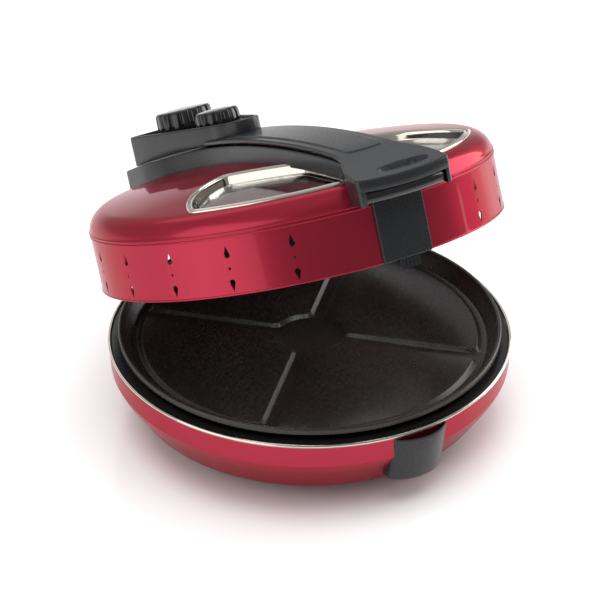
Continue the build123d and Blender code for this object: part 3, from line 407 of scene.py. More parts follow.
def gloss_plastic():
    mat, tree, shader = material("gloss_plastic", (0.008, 0.007, 0.007), 0.14, Specular_IOR_Level=0.5,
                                 Coat_Weight=0.3, Coat_Roughness=0.05)
    spread(tree, shader, noise(tree, 400, 3), "Roughness", 0.09, 0.17)
    bump(tree, shader, noise(tree, 150, 1), 0.06, 0.0002)
    return mat


def nonstick():
    mat, tree, shader = material("nonstick", (0.017, 0.0125, 0.0115), 0.34, Specular_IOR_Level=0.5)
    tint(tree, shader, noise(tree, 1500, 3), (0.014, 0.010, 0.009), (0.021, 0.016, 0.015))
    spread(tree, shader, noise(tree, 900, 3), "Roughness", 0.25, 0.31)
    bump(tree, shader, noise(tree, 2500, 2), 0.12, 0.00006)
    return mat


def black_ledge():
    mat, tree, shader = material("black_ledge", (0.008, 0.007, 0.007), 0.30, Specular_IOR_Level=0.5)
    spread(tree, shader, noise(tree, 300, 3), "Roughness", 0.26, 0.36)
    bump(tree, shader, noise(tree, 2000, 2), 0.12, 0.00008)
    return mat


def brushed_steel():
    mat, tree, shader = material("brushed_steel", (0.52, 0.52, 0.53), 0.32, 1.0)
    spread(tree, shader, noise(tree, 250, 4, (1, 1, 12)), "Roughness", 0.22, 0.42)
    bump(tree, shader, noise(tree, 500, 2, (1, 1, 14)), 0.15, 0.0001)
    return mat


def bright_liner():
    mat, tree, shader = material("bright_liner", (0.66, 0.65, 0.63), 0.22, 1.0)
    spread(tree, shader, noise(tree, 30, 4), "Roughness", 0.16, 0.32)
    bump(tree, shader, noise(tree, 45, 2), 0.2, 0.0008)
    return mat


def dark_oxide():
    mat, tree, shader = material("dark_oxide", (0.055, 0.05, 0.046), 0.5, 0.7)
    tint(tree, shader, noise(tree, 200, 4), (0.04, 0.036, 0.034), (0.08, 0.07, 0.062))
    bump(tree, shader, noise(tree, 1500, 3), 0.25, 0.0001)
    return mat


def ceramic():
    mat, tree, shader = material("ceramic", (0.80, 0.77, 0.70), 0.3)
    tint(tree, shader, noise(tree, 300, 3), (0.76, 0.72, 0.64), (0.84, 0.81, 0.75))
    return mat


def brass():
    mat, tree, shader = material("brass", (0.72, 0.52, 0.24), 0.28, 1.0)
    spread(tree, shader, noise(tree, 400, 3), "Roughness", 0.2, 0.36)
    return mat


def rubber():
    mat, tree, shader = material("rubber", (0.014, 0.014, 0.014), 0.75)
    tint(tree, shader, noise(tree, 800, 3), (0.011, 0.011, 0.011), (0.02, 0.02, 0.02))
    bump(tree, shader, noise(tree, 2200, 3), 0.3, 0.0001)
    return mat


def window_glass():
    mat, tree, shader = material("window_glass", (0.97, 0.98, 0.98), 0.03, IOR=1.5, Transmission_Weight=1.0)
    bump(tree, shader, noise(tree, 25, 1), 0.05, 0.0005)
    return mat


MATERIALS = {
    "red_enamel": red_enamel(),
    "polished_steel": polished_steel(),
    "black_tray": black_ledge(),
    "nonstick": nonstick(),
    "black_plastic": satin_plastic(),
    "gloss_black": gloss_plastic(),
    "steel": brushed_steel(),
    "reflector": bright_liner(),
    "element": dark_oxide(),
    "ceramic": ceramic(),
    "bush_brass": brass(),
    "rubber": rubber(),
    "window_glass": window_glass(),
}
SLOT_OF = {row["node"]: row["material_slot"] for row in frame["record"]["subparts"]}
BODY_OF = {node: body for body, nodes in frame["record"]["behaviour"]["bodies"].items() for node in nodes}


def dress(piece, node):
    """A finished piece stands for a CAD node: same body, same slot."""
    piece.data.materials.clear()
    piece.data.materials.append(MATERIALS[SLOT_OF[node]])
    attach(piece, BODY_OF[node])
    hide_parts(node)
    return piece


# ================= dome =================
def dome_z(r, drop=0.0):
    """Height of the lid's surface, or of one inset below it, with its rounded shoulder."""
    edge = (CROWN_R - drop) * sin(CROWN_SLOPE)
    if r <= edge:
        return CROWN_Z + sqrt((CROWN_R - drop) ** 2 - r * r)
    inner = SHOULDER_R - drop
    reach = min(r - (LID_R - SHOULDER_R), inner)
    return LID_WALL_Z + sqrt(max(inner ** 2 - reach ** 2, 0.0))


def dome_at(x, y):
    return dome_z(hypot(x, y))


def crown_profile(drop, n_crown=26, n_turn=18):
    """Points from the middle of the lid to the top of its wall."""
    slope = degrees(CROWN_SLOPE)
    crown = [(r, z) for r, z in arc(0, CROWN_Z, CROWN_R - drop, 90, 90 - slope, n_crown)]
    turn = arc(LID_R - SHOULDER_R, LID_WALL_Z, SHOULDER_R - drop, 90 - slope, 0, n_turn)
    return [(0.0, crown[0][1])] + crown[1:-1] + turn


# ================= windows =================
WINDOW_TIP = (137.0, -78.0)
WINDOW_CORNER = (66.0, -11.0)
WINDOW_INNER = (12.0, -68.0)
WINDOW_FRONT_R = 162.5
WINDOW_REAR_VIA = (110.0, -36.0)
WINDOW_SOFT = 1.1
WINDOW_MIDDLE = (68.0, -88.0)


def circle_through(a, b, c):
    """Centre and radius of the circle through three points."""
    ax, ay, bx, by, cx, cy = *a, *b, *c
    d = 2 * (ax * (by - cy) + bx * (cy - ay) + cx * (ay - by))
    a2, b2, c2 = ax ** 2 + ay ** 2, bx ** 2 + by ** 2, cx ** 2 + cy ** 2
    x = (a2 * (by - cy) + b2 * (cy - ay) + c2 * (ay - by)) / d
    y = (a2 * (cx - bx) + b2 * (ax - cx) + c2 * (bx - ax)) / d
    return x, y, hypot(ax - x, ay - y)


REAR_X, REAR_Y, REAR_R = circle_through(WINDOW_TIP, WINDOW_REAR_VIA, WINDOW_CORNER)
DIAGONAL = (Vector(WINDOW_INNER) - Vector(WINDOW_CORNER)).normalized()


def window_depth(x, y):
    """Soft distance inside the right window's edge, from its four sides."""
    along = Vector((x, y)) - Vector(WINDOW_CORNER)
    sides = (
        WINDOW_FRONT_R - hypot(x, y),
        REAR_R - hypot(x - REAR_X, y - REAR_Y),
        DIAGONAL.x * along.y - DIAGONAL.y * along.x,
        x - WINDOW_INNER[0],
    )
    return -WINDOW_SOFT * log(sum(exp(-s / WINDOW_SOFT) for s in sides))


def window_loop(depth, n=300):
    """Loop where the soft distance equals depth, walked round the window's middle."""
    points = []
    for k in range(n):
        a = 2 * pi * k / n
        low, high = 0.0, 140.0
        for _ in range(26):
            mid = (low + high) / 2
            if window_depth(WINDOW_MIDDLE[0] + mid * cos(a), WINDOW_MIDDLE[1] + mid * sin(a)) > depth:
                low = mid
            else:
                high = mid
        points.append((WINDOW_MIDDLE[0] + low * cos(a), WINDOW_MIDDLE[1] + low * sin(a)))
    return resample(points + points[:1], n)[:-1]


def window_piece(name, node, section, side):
    """Ring or slab whose closed section is (inset, height over the dome)."""
    form = Form()
    loops = [form.loop([(side * x, y, dome_at(x, y) + h) for x, y in window_loop(d)]) for d, h in section]
    for a, b in zip(loops, loops[1:] + loops[:1]):
        form.bridge(a, b)
    return dress(finish_mesh(name, form.verts, form.faces, LID, 40), node)


def glass_piece(name, node, side):
    """Glass slab that follows the dome, sunk in its frame."""
    form = Form()
    low, high, edge = -WELL, -WELL + GLASS_T, FLANGE_W + 1.6
    loops = [form.loop([(side * x, y, dome_at(x, y) + h) for x, y in window_loop(d)])
             for d, h in ((edge + 0.6, low), (edge, low + 0.6), (edge, high - 0.6), (edge + 0.6, high))]
    for a, b in zip(loops, loops[1:]):
        form.bridge(a, b)
    for ring, h in ((loops[0], low), (loops[-1], high)):
        inner = ring
        for share in (0.75, 0.5, 0.25, 0.1):
            points = []
            for v in ring:
                x = side * WINDOW_MIDDLE[0] + (form.verts[v][0] - side * WINDOW_MIDDLE[0]) * share
                y = WINDOW_MIDDLE[1] + (form.verts[v][1] - WINDOW_MIDDLE[1]) * share
                points.append((x, y, dome_at(x, y) + h))
            loop = form.loop(points)
            form.bridge(inner, loop)
            inner = loop
        form.faces.append(list(inner))
    return dress(finish_mesh(name, form.verts, form.faces, LID, 40), node)


def windows():
    """Two steel bezels, each with a well that holds its glass."""
    top = FLANGE_W
    section = [
        # bead round the outside
        (0.2, -0.4), (0.0, 0.5), (0.2, 1.2), (0.7, 1.8), (1.3, 2.0), (1.9, 1.8), (2.3, 1.2),
        # groove and inner step
        (2.6, 0.6), (3.2, 0.5), (top - 2.6, 0.9), (top - 1.8, 1.5), (top - 1.1, 1.6), (top - 0.5, 1.2),
        # wall of the well and the ledge that holds the glass
        (top - 0.1, 0.3), (top + 0.3, -2.0), (top + 0.9, -5.0), (top + 1.5, -WELL + 0.6), (top + 1.9, -WELL),
        (top + 5.0, -WELL - 0.2), (top + 5.2, -WELL - 0.8), (top + 4.8, -WELL - 1.4),
        # underside
        (top + 0.4, -WELL - 1.4), (top - 0.5, -5.0), (top - 0.9, -0.4),
    ]
    for side, hand in ((1, "right"), (-1, "left")):
        window_piece(f"bezel_{hand}", f"window_bezel_{hand}", section, side)
        glass_piece(f"glass_{hand}", f"window_glass_{hand}", side)


# ================= lid shell =================
VENT_FIRST = 30.0
VENT_STEP = 17.5
VENT_COLUMNS = 7
VENT_Z = 98.5
VENT_PITCH = 13.0
VENT_W = 5.0
VENT_H = 10.5


def teardrop(flip):
    """Outline of one vent: round at one end, pointed at the other."""
    r = VENT_W / 2
    tip = VENT_H - r
    lean = degrees(asin(r / tip))
    ring = arc(0, 0, r, 180 - lean, 360 + lean, 16)
    return [(x, y * flip) for x, y in ring + [(0.0, tip)]]


def lid_shell():
    """Domed lid with two beads, a rolled hem, window openings and vents."""
    wall = []
    for z in (LID_WALL_Z + 1.6, LID_WALL_Z - 1.2):
        wall += arc(LID_R - 0.1, z, BEAD_R, 78, -78, 8)
    turn = [p for p in crown_profile(0) if p[1] > LID_WALL_Z + 1.6 + BEAD_R]
    hem = arc(LID_R - 0.4, LID_RIM_Z + 1.0, 1.0, 60, -180, 14)
    inner = crown_profile(LID_T)[::-1]
    low_wall = [(LID_R, LID_WALL_Z - 4), (LID_R, LID_RIM_Z + 30), (LID_R, LID_RIM_Z + 4)]
    inside = [(LID_R - LID_T, LID_RIM_Z + 4), (LID_R - LID_T, LID_WALL_Z - 20)]
    profile = turn + wall + low_wall + hem + inside + inner
    whole = lathe("lid_whole", profile, LID, 360)
    shell = lathe("lid_dome", profile, LID, 360)
    cutters = []
    for side in (-1, 1):
        loop = [(side * x, y) for x, y in window_loop(FLANGE_W - 0.5, 200)][::side]
        cutters.append(prism("window_cut", loop, LID_WALL_Z, LID_WALL_Z + 40, lambda x, y, h: (x, y, h)))
        for i in range(VENT_COLUMNS):
            a = radians(side * (VENT_FIRST + VENT_STEP * i))

            def radial(x, z, h, a=a):
                return (h * sin(a) + x * cos(a), -h * cos(a) + x * sin(a), z)

            for flip, z in ((1, VENT_Z + VENT_PITCH - 1.6), (-1, VENT_Z - VENT_PITCH + 1.6)):
                flat = [(x, y + z) for x, y in teardrop(flip)]
                cutters.append(prism("vent_cut", flat, LID_R - 8, LID_R + 6, radial))
            dot = [(x, y) for x, y in arc(0, VENT_Z, 1.2, 0, 360, 16)[:-1]]
            cutters.append(prism("dot_cut", dot, LID_R - 8, LID_R + 6, radial))
    cut(shell, *cutters)
    keep_normals(shell, whole)
    bpy.data.objects.remove(whole)
    return dress(shell, "lid_shell")


# ================= bowl, rim and tray =================
def bowl():
    outer = rounded([(104.0, 8.0), (132.0, 8.0), (146.0, 11.5), (157.0, 20.5), (173.0, 45.5), (177.0, 53.5),
                     (178.0, 73.2)], [0, 18, 24, 16, 3.0, 6.0, 0], 10, closed=False)
    inner = rounded([(176.4, 73.2), (175.5, 53.8), (171.6, 46.2), (155.8, 21.6), (145.2, 13.0), (131.6, 9.5),
                     (104.0, 9.5)], [0, 5, 3, 14, 22, 16, 0], 8, closed=False)
    return dress(lathe("bowl", outer + inner, HOME, 360), "base_shell")


def rim():
    bead = arc(177.1, 74.4, 1.45, -60, 240, 20)
    foot = [(175.9, 73.0), (178.2, 73.0)]
    return dress(lathe("rim_bead", bead + foot, HOME, 360), "rim_trim")


def tray():
    section = rounded(
        [(7.0, 38.2), (150.0, 38.2), (158.0, 44.2), (164.0, 74.2), (175.6, 74.2),
         (175.6, 73.0), (165.2, 73.0), (159.2, 43.8), (150.5, 37.0), (7.0, 37.0)],
        [0, 5, 6, 2.2, 0.4, 0.4, 1.2, 5, 4, 0], 7)
    return dress(lathe("tray", section, HOME, 300), "inner_tray")


# ================= pan =================
PAN_R = 169.4
PAN_RIM_Z = 85.7
PAN_LOW = 71.0
PAN_STEP = 3.0
PAN_FLOOR_R = 155.0
SECTOR_R = 148.5
HUB_R = 32.0
CHANNEL = 16.0
SLOPE = 4.0
PAN_T = 1.5


def sector_loop(turn, grow, n_arc=40, n_hub=12, corner=3.2):
    """Plan of one raised sector, its edges moved out by grow, corners rounded."""
    half = CHANNEL / 2 - grow
    far, near = SECTOR_R + grow, HUB_R - grow
    a_far, a_near = asin(half / far), asin(half / near)
    quarter = pi / 2
    far_arc = [(far * cos(t), far * sin(t)) for t in np.linspace(a_far, quarter - a_far, n_arc)]
    near_arc = [(near * cos(t), near * sin(t)) for t in np.linspace(quarter - a_near, a_near, n_hub)]
    radii = [corner + grow] + [0] * (n_arc - 2) + [corner + grow] * 2 + [0] * (n_hub - 2) + [corner + grow]
    made = round_corners(far_arc + near_arc, radii)
    c, s = cos(turn), sin(turn)
    return [(x * c - y * s, x * s + y * c) for x, y in made]


def round_corners(points, radii, n=7):
    """Round chosen corners of a dense outline, walking back and on along it by the radius."""
    total = len(points)
    p = [Vector(q) for q in points]

    def walk(i, step, reach):
        at, left, j = p[i], reach, i
        while True:
            nxt = p[(j + step) % total]
            gap = (nxt - at).length
            if gap >= left:
                return at + (nxt - at) * (left / gap), (j + step) % total
            left -= gap
            at, j = nxt, (j + step) % total

    skip, arcs = set(), {}
    for i, r in enumerate(radii):
        if r > 0:
            start, before = walk(i, -1, r)
            end, after = walk(i, 1, r)
            arcs[i] = [start * (1 - t) ** 2 + p[i] * 2 * t * (1 - t) + end * t * t
                       for t in np.linspace(0, 1, n)]
            j = (before + 1) % total
            while j != after:
                skip.add(j)
                j = (j + 1) % total
            skip.discard(i)
    made = []
    for i in range(total):
        if i in arcs:
            made += arcs[i]
        elif i not in skip:
            made.append(p[i])
    return resample([tuple(v) for v in made] + [tuple(made[0])], 160)[:-1].tolist()


def pan_skin(form, drop, rim_loops):
    """One face of the pan: flat channels, four raised sectors with soft edges, and the wall's loops."""
    segments = 320
    floor = PAN_LOW - drop
    edge = [(PAN_FLOOR_R * cos(2 * pi * k / segments), PAN_FLOOR_R * sin(2 * pi * k / segments), floor)
            for k in range(segments)]
    edge_ids = form.loop(edge)
    holes = []
    profile = [(SLOPE + 0.3, 0.0), (SLOPE - 0.1, 0.06), (SLOPE - 0.5, 0.3), (0.6, PAN_STEP - 0.36),
               (0.2, PAN_STEP - 0.08), (-0.2, PAN_STEP)]
    for quarter in range(4):
        turn = pi / 2 * quarter - pi / 4
        loops = [form.loop([(x, y, floor + h) for x, y in sector_loop(turn, grow)]) for grow, h in profile]
        for a, b in zip(loops, loops[1:]):
            form.bridge(a, b)
        form.faces.append(list(loops[-1]))
        holes.append(loops[0])
    fill(form, [edge_ids] + holes)
    previous = edge_ids
    for r, z in rim_loops:
        ring = form.loop([(r * cos(2 * pi * k / segments), r * sin(2 * pi * k / segments), z)
                          for k in range(segments)])
        form.bridge(previous, ring)
        previous = ring
    return previous


def fill(form, loops):
    """Triangulate the flat region between an outer loop and its holes."""
    work = bmesh.new()
    ids = []
    for loop in loops:
        made = [work.verts.new(form.verts[v]) for v in loop]
        ids += loop
        for a, b in zip(made, made[1:] + made[:1]):
            work.edges.new((a, b))
    work.verts.index_update()
    bmesh.ops.triangle_fill(work, use_beauty=True, use_dissolve=False, edges=work.edges, normal=(0, 0, 1))
    work.verts.index_update()
    form.faces += [[ids[v.index] for v in f.verts] for f in work.faces]
    work.free()


def pan():
    """Pan with a sloping wall and a rolled rim."""
    form = Form()
    lip = PAN_R - 3.4
    top_wall = rounded([(PAN_FLOOR_R, PAN_LOW), (PAN_FLOOR_R + 2.5, PAN_LOW), (lip - 2.2, PAN_RIM_Z - 4.5),
                        (lip, PAN_RIM_Z), (PAN_R - 0.2, PAN_RIM_Z), (PAN_R, PAN_RIM_Z - 5.0)],
                       [0, 5.0, 2.0, 1.3, 1.6, 0], 6, closed=False)[1:]
    bottom_wall = rounded([(PAN_FLOOR_R, PAN_LOW - PAN_T), (PAN_FLOOR_R + 3.3, PAN_LOW - PAN_T),
                           (lip - 0.9, PAN_RIM_Z - 4.5), (lip + 0.5, PAN_RIM_Z - 1.3),
                           (PAN_R - 1.1, PAN_RIM_Z - 1.3), (PAN_R - 0.9, PAN_RIM_Z - 5.0)],
                          [0, 5.0, 2.0, 0.8, 0.8, 0], 6, closed=False)[1:]
    over = pan_skin(form, 0.0, top_wall)
    under = pan_skin(form, PAN_T, bottom_wall)
    form.bridge(over, under)
    return dress(finish_mesh("pan_skin", form.verts, form.faces, HOME, 25), "pan")


# ================= bridge =================
def arch(y, lift=0.0):
    return ARCH_TOP + lift - ARCH_R + sqrt(ARCH_R ** 2 - (y - ARCH_Y) ** 2)


def spline(points, n=40):
    """Catmull-Rom curve through points."""
    p = np.array([points[0]] + list(points) + [points[-1]], float)
    made = []
    for i in range(1, len(p) - 2):
        for t in np.linspace(0, 1, n, endpoint=False):
            a, b, c, d = p[i - 1], p[i], p[i + 1], p[i + 2]
            made.append(0.5 * (2 * b + (c - a) * t + (2 * a - 5 * b + 4 * c - d) * t * t
                               + (3 * b - a - 3 * c + d) * t ** 3))
    made.append(p[-2])
    return [tuple(q) for q in made]


def split_corner(back, side, radius, n=8):
    """Round the corner between two polylines and share it at its middle."""
    corner = Vector(back[-1])
    a = corner + (Vector(back[-2]) - corner).normalized() * radius
    b = corner + (Vector(side[1]) - corner).normalized() * radius
    curve = [tuple(a * (1 - t) ** 2 + corner * 2 * t * (1 - t) + b * t * t)
             for t in np.linspace(0, 1, 2 * n + 1)]
    first = [q for q in back[:-1] if (Vector(q) - corner).length > radius] + curve[:n + 1]
    second = curve[n:] + [q for q in side[1:] if (Vector(q) - corner).length > radius]
    return first, second


def bridge_plan():
    back = [(0.0, TAIL_Y), (30.0, TAIL_Y), (TAIL_W, TAIL_Y)]
    taper = spline([(TAIL_W, 190.0), (54.0, 172.0), (49.0, 151.0), (40.5, 128.0),
                    (31.6, 92.0), (28.2, 55.0), (BRIDGE_W, 20.0), (BRIDGE_W, -60.0)])
    side = [(TAIL_W, TAIL_Y), (TAIL_W, 205.0)] + taper + [(BRIDGE_W, BRIDGE_NOSE_Y)]
    front = [(BRIDGE_W, BRIDGE_NOSE_Y), (10.0, BRIDGE_NOSE_Y), (0.0, BRIDGE_NOSE_Y)]
    back, side = split_corner(back, side, 5.0)
    return outline((back, side, front), 16, 150)


def bridge_base():
    """Arched body of the bridge, standing on the dome."""
    form = Form()
    plan, corners = bridge_plan()

    def foot(x, y):
        return max(dome_at(x, y) - 0.6, LID_WALL_Z + 6.0)

    def at(lift):
        return lambda x, y: max(arch(y, lift), foot(x, y) + 0.5)

    slab(form, plan, corners, [(0.0, foot), (0.0, at(-1.5)), (0.16, at(-0.85)), (0.5, at(-0.35)),
                               (1.0, at(-0.07)), (1.6, at(0.0))])
    return dress(finish_mesh("bridge_body", form.verts, form.faces, LID, 40), "bridge_base")


def smooth_step(t):
    t = min(max(t, 0.0), 1.0)
    return t * t * (3 - 2 * t)


DENT_X, DENT_Y = 6.0, -187.0
DENT_HALF_X, DENT_HALF_Y = 26.0, 6.5
DENT_DEPTH = 3.6
SLOPE_START = -128.0
LIP_FALL = 20.0
LIP_START = -150.0
LIP_GROWTH = 22.0


def cover_top(x, y):
    """Height of the cover's top: the arch, then the flare's slope, with the thumb dent in it."""
    base = arch(y, SEAM + COVER_H)
    length = SLOPE_START - FLARE_Y
    if y < SLOPE_START:
        t = (SLOPE_START - y) / length
        t2, t3 = t * t, t ** 3
        fall = (ARCH_Y - SLOPE_START) / ARCH_R * length
        base = ((2 * t3 - 3 * t2 + 1) * arch(SLOPE_START, SEAM + COVER_H) + (t3 - 2 * t2 + t) * -fall
                + (-2 * t3 + 3 * t2) * LIP_TOP + (t3 - t2) * -LIP_FALL)
    dy = y - DENT_Y + BULGE * (1 - (x / FLARE_W) ** 2) * 0.55
    inside = 1 - sqrt(((x - DENT_X) / DENT_HALF_X) ** 2 + (dy / DENT_HALF_Y) ** 2)
    return base - DENT_DEPTH * smooth_step(inside / 0.2)


def cover_plan():
    back = [(0.0, COVER_BACK_Y), (14.0, COVER_BACK_Y), (COVER_W, COVER_BACK_Y)]
    flare = spline([(COVER_W, -118.0), (27.6, -140.0), (30.4, -153.0), (36.0, -164.0),
                    (41.0, -176.0), (43.4, -188.0), (FLARE_W, FLARE_Y)])
    side = [(COVER_W, COVER_BACK_Y), (COVER_W, -60.0)] + flare
    bow = circle_through((FLARE_W, FLARE_Y), (0.0, FLARE_Y - BULGE), (-FLARE_W, FLARE_Y))
    start = degrees(atan2(FLARE_Y - bow[1], FLARE_W - bow[0]))
    front = arc(bow[0], bow[1], bow[2], start, -90, 30)
    side, front = split_corner(side, front, 3.5)
    return outline((back, side, front), 44, 230)


def bridge_cover():
    """Cover over the bridge, with the front flare that ends in a lip."""
    form = Form()
    plan, corners = cover_plan()

    def thick(y):
        return COVER_H + (LIP_H - COVER_H) * smooth_step((LIP_START - y) / LIP_GROWTH)

    def below(x, y):
        return cover_top(99, y) - thick(y)

    def at(lift):
        return lambda x, y: cover_top(x, y) + lift

    slab(form, plan, corners, [(1.6, below), (0.5, lambda x, y: below(x, y) + 0.3),
                               (0.0, lambda x, y: below(x, y) + 1.0),
                               (0.0, at(-1.5)), (0.2, at(-0.8)), (0.6, at(-0.3)), (1.2, at(-0.05)),
                               (1.9, at(0.0))])
    cheeks(form)
    pad(form)
    return dress(finish_mesh("bridge_cap", form.verts, form.faces, LID, 42), "bridge_cover")


CHEEK_LOW = 128.6
CHEEK_W = 2.6
CHEEK_BACK = -150.0


def cheeks(form):
    """Side walls under the flare, down past the lid's shoulder."""
    plan = cover_plan()[0]
    for side in (-1, 1):
        outer = [tuple(p) for p in inset(plan, 0.4) if p[0] > 0 and p[1] < CHEEK_BACK]
        outer.sort(key=lambda p: atan2(p[1] + 170.0, p[0] - 10.0))
        outer = [p for p in outer if p[0] > FLARE_W - CHEEK_W - 1.0 or p[1] > -190.0]
        outer.sort(key=lambda p: -p[1])
        inner = [(p[0] - CHEEK_W, p[1]) for p in outer]
        ring = [(side * x, y) for x, y in outer + inner[::-1]]
        ring = np.array(rounded(ring, [1.2 if i in (0, len(outer) - 1, len(outer), 2 * len(outer) - 1) else 0
                                       for i in range(len(ring))], 4))
        top = [cover_top(99, y) - 2.5 for x, y in ring]
        low = [max(CHEEK_LOW, min(dome_z(hypot(x, y)) - 0.5, 160.0) if hypot(x, y) < LID_R - 1 else CHEEK_LOW)
               for x, y in ring]
        loops = [form.loop([(x, y, z + 1.0) for (x, y), z in zip(ring, low)]),
                 form.loop([(x, y, z) for (x, y), z in zip(ring, top)])]
        rim_loop = form.loop([(x, y, z) for (x, y), z in zip(inset(ring, 0.8), low)])
        form.bridge(loops[0], loops[1])
        form.bridge(rim_loop, loops[0])
        form.faces.append(list(rim_loop))
        form.faces.append(list(loops[1]))


def pad(form):
    """Raised centre of the cover with a rounded front."""
    back = [(0.0, COVER_BACK_Y), (10.0, COVER_BACK_Y), (PAD_W, COVER_BACK_Y)]
    taper = spline([(PAD_W, -110.0), (18.9, -126.0), (18.2, -138.0)])
    side = [(PAD_W, COVER_BACK_Y), (PAD_W, -60.0)] + taper
    front = spline([(18.2, -138.0), (16.4, -143.6), (10.0, -145.6), (0.0, -146.0)])
    plan, corners = outline((back, side, front), 20, 120)

    def at(lift):
        return lambda x, y: cover_top(99, y) + lift

    slab(form, plan, corners, [(0.0, at(-0.5)), (0.05, at(0.15)), (0.5, at(PAD_H - 0.7)),
                               (0.8, at(PAD_H - 0.25)),
                               (1.4, at(PAD_H - 0.02)), (2.0, at(PAD_H))])


def grip_band():
    """Glossy band under the flare's lip, bulging forward."""
    form = Form()
    w = FLARE_W - CHEEK_W - BAND_GAP
    end_y, mid_y = FLARE_Y + BAND_SET_BACK, FLARE_Y - BULGE + BAND_SET_BACK
    bow = circle_through((w, end_y), (0.0, mid_y), (-w, end_y))
    start = degrees(atan2(end_y - bow[1], w - bow[0]))
    front = arc(*bow[:2], bow[2], start, -90, 24)
    back = [(0.0, -172.0), (w, -172.0)]
    side = [(w, -172.0), (w, end_y)]
    side, front = split_corner(side, front, 1.6)
    plan, corners = outline((back, side, front), 26, 16)
    low, high = CHEEK_LOW + 0.8, LIP_TOP - LIP_H + 0.4

    def level(share):
        return lambda x, y: low + (high - low) * share

    steps = [(4.2, level(0.0)), (2.4, level(0.05)), (1.2, level(0.14)), (0.45, level(0.27)),
             (0.05, level(0.42)), (0.0, level(0.55)), (0.3, level(0.7)), (0.9, level(0.83)),
             (1.9, level(0.93)), (3.2, level(1.0))]
    slab(form, plan, corners, steps)
    return dress(finish_mesh("flare_band", form.verts, form.faces, LID, 45), "grip_band")


STRAP_W = 23.4
STRAP_T = 3.0


def strap():
    """Curved plate down the front of the lid's wall."""
    form = Form()
    half_w, low, high = STRAP_W, LID_RIM_Z, CHEEK_LOW + 2.0
    back = [(0.0, high), (half_w, high)]
    side = [(half_w, high), (half_w, low)]
    front = [(half_w, low), (0.0, low)]
    side, front = split_corner(side, front, 1.5)
    plan, corners = outline((back, side, front), 24, 40)
    slab(form, plan, corners, [(0.0, lambda x, z: 0.05), (0.0, lambda x, z: STRAP_T - 1.1),
                               (0.2, lambda x, z: STRAP_T - 0.5), (0.6, lambda x, z: STRAP_T - 0.12),
                               (1.2, lambda x, z: STRAP_T)])
    form.verts = [(x, -sqrt((LID_R + h) * (LID_R + h) - x * x), z) for x, z, h in form.verts]
    return dress(finish_mesh("front_strap", form.verts, form.faces, LID, 40), "lid_strap")


# ================= control housing =================
POD_SLOPE = radians(3.3)
POD_MID_Y, POD_MID_Z = 128.0, 184.5
POD_W = 43.5
DIAL_DROP = 2.5


def pod_z(y, drop=0.0):
    """Height of the sloping pod top over lid position y."""
    return POD_MID_Z - drop - (y - POD_MID_Y) * sin(POD_SLOPE) / cos(POD_SLOPE)


def pod_plan():
    back = [(0.0, TAIL_Y), (20.0, TAIL_Y), (POD_W, TAIL_Y)]
    taper = spline([(43.0, 208.0), (41.2, 190.0), (37.4, 164.0), (32.4, 134.0), (27.2, 106.0),
                    (22.6, 84.0)], 24)
    side = [(POD_W, TAIL_Y)] + taper
    nose = spline([(22.6, 84.0), (20.6, 73.0), (16.4, 63.4), (9.4, 56.4), (0.0, 54.0)], 12)
    back, side = split_corner(back, side, 4.5)
    return outline((back, side, nose), 20, 90)


def control_housing():
    """Housing of the two knobs, its top edge raised round the dial plate."""
    form = Form()
    plan, corners = pod_plan()

    def low(x, y):
        return arch(y, SEAM)

    def at(drop):
        return lambda x, y: pod_z(y, drop)

    steps = [(1.2, low), (0.3, lambda x, y: low(x, y) + 0.3), (0.0, lambda x, y: low(x, y) + 1.0),
             (0.0, at(1.8)), (0.16, at(1.0)), (0.55, at(0.4)), (1.1, at(0.08)), (1.7, at(0.0)),
             (2.6, at(0.0)), (3.1, at(0.2)), (3.4, at(0.7)), (3.6, at(DIAL_DROP + 0.6))]
    slab(form, plan, corners, steps)
    return dress(finish_mesh("control_pod", form.verts, form.faces, LID, 40), "control_housing")


def dial_plate():
    form = Form()
    plan, corners = pod_plan()

    def at(drop):
        return lambda x, y: pod_z(y, drop)

    steps = [(3.75, at(DIAL_DROP + 1.6)), (3.75, at(DIAL_DROP + 0.2)), (4.0, at(DIAL_DROP))]
    slab(form, plan, corners, steps)
    return dress(finish_mesh("dial_face", form.verts, form.faces, LID, 40), "dial_plate")


FLUTES = 16
FLUTE_DEPTH = 0.085        # share of the knob's radius
BIG_KNOB = (26.5, 17.5)    # radius and height
SMALL_KNOB = (20.5, 13.0)


def knob(name, node, joint_name, radius, height):
    """Domed glossy knob whose rim is scalloped, built round its joint's axis."""
    joint = next(j for j in frame["joints"] if j["name"] == joint_name)
    axis = -Vector(joint["axis"])
    seat = Vector(joint["pos_m"]) + axis * (-DIAL_DROP + 0.6) * MM
    turn = axis.to_track_quat("Z", "Y").to_matrix().to_4x4()
    matrix = Matrix.Translation(seat) @ turn
    form = Form()
    count = 24 * FLUTES
    depth = radius * FLUTE_DEPTH
    wall = [(0.6, 0.0, 0.8), (0.0, 0.5, 1.0), (0.0, height * 0.35, 1.0), (0.15, height * 0.62, 1.0),
            (0.5, height - 3.2, 1.0), (0.8, height - 2.2, 0.95), (1.3, height - 1.3, 0.8),
            (2.2, height - 0.6, 0.55), (3.4, height - 0.15, 0.25), (4.6, height, 0.05),
            (radius * 0.45, height + 0.6, 0.0),
            (radius * 0.7, height + 0.95, 0.0), (radius * 0.9, height + 1.05, 0.0)]
    previous = None
    for back_by, z, share in wall:
        ring = []
        for k in range(count):
            a = 2 * pi * k / count
            wave = (0.5 - 0.5 * cos(a * FLUTES)) ** 5
            r = radius - back_by - depth * share * wave
            ring.append((r * cos(a), r * sin(a), z))
        ids = form.loop(ring)
        if previous:
            form.bridge(previous, ids)
        else:
            form.faces.append(list(ids))
        previous = ids
    form.faces.append(list(previous))
    return dress(finish_mesh(name, form.verts, form.faces, matrix, 50), node)


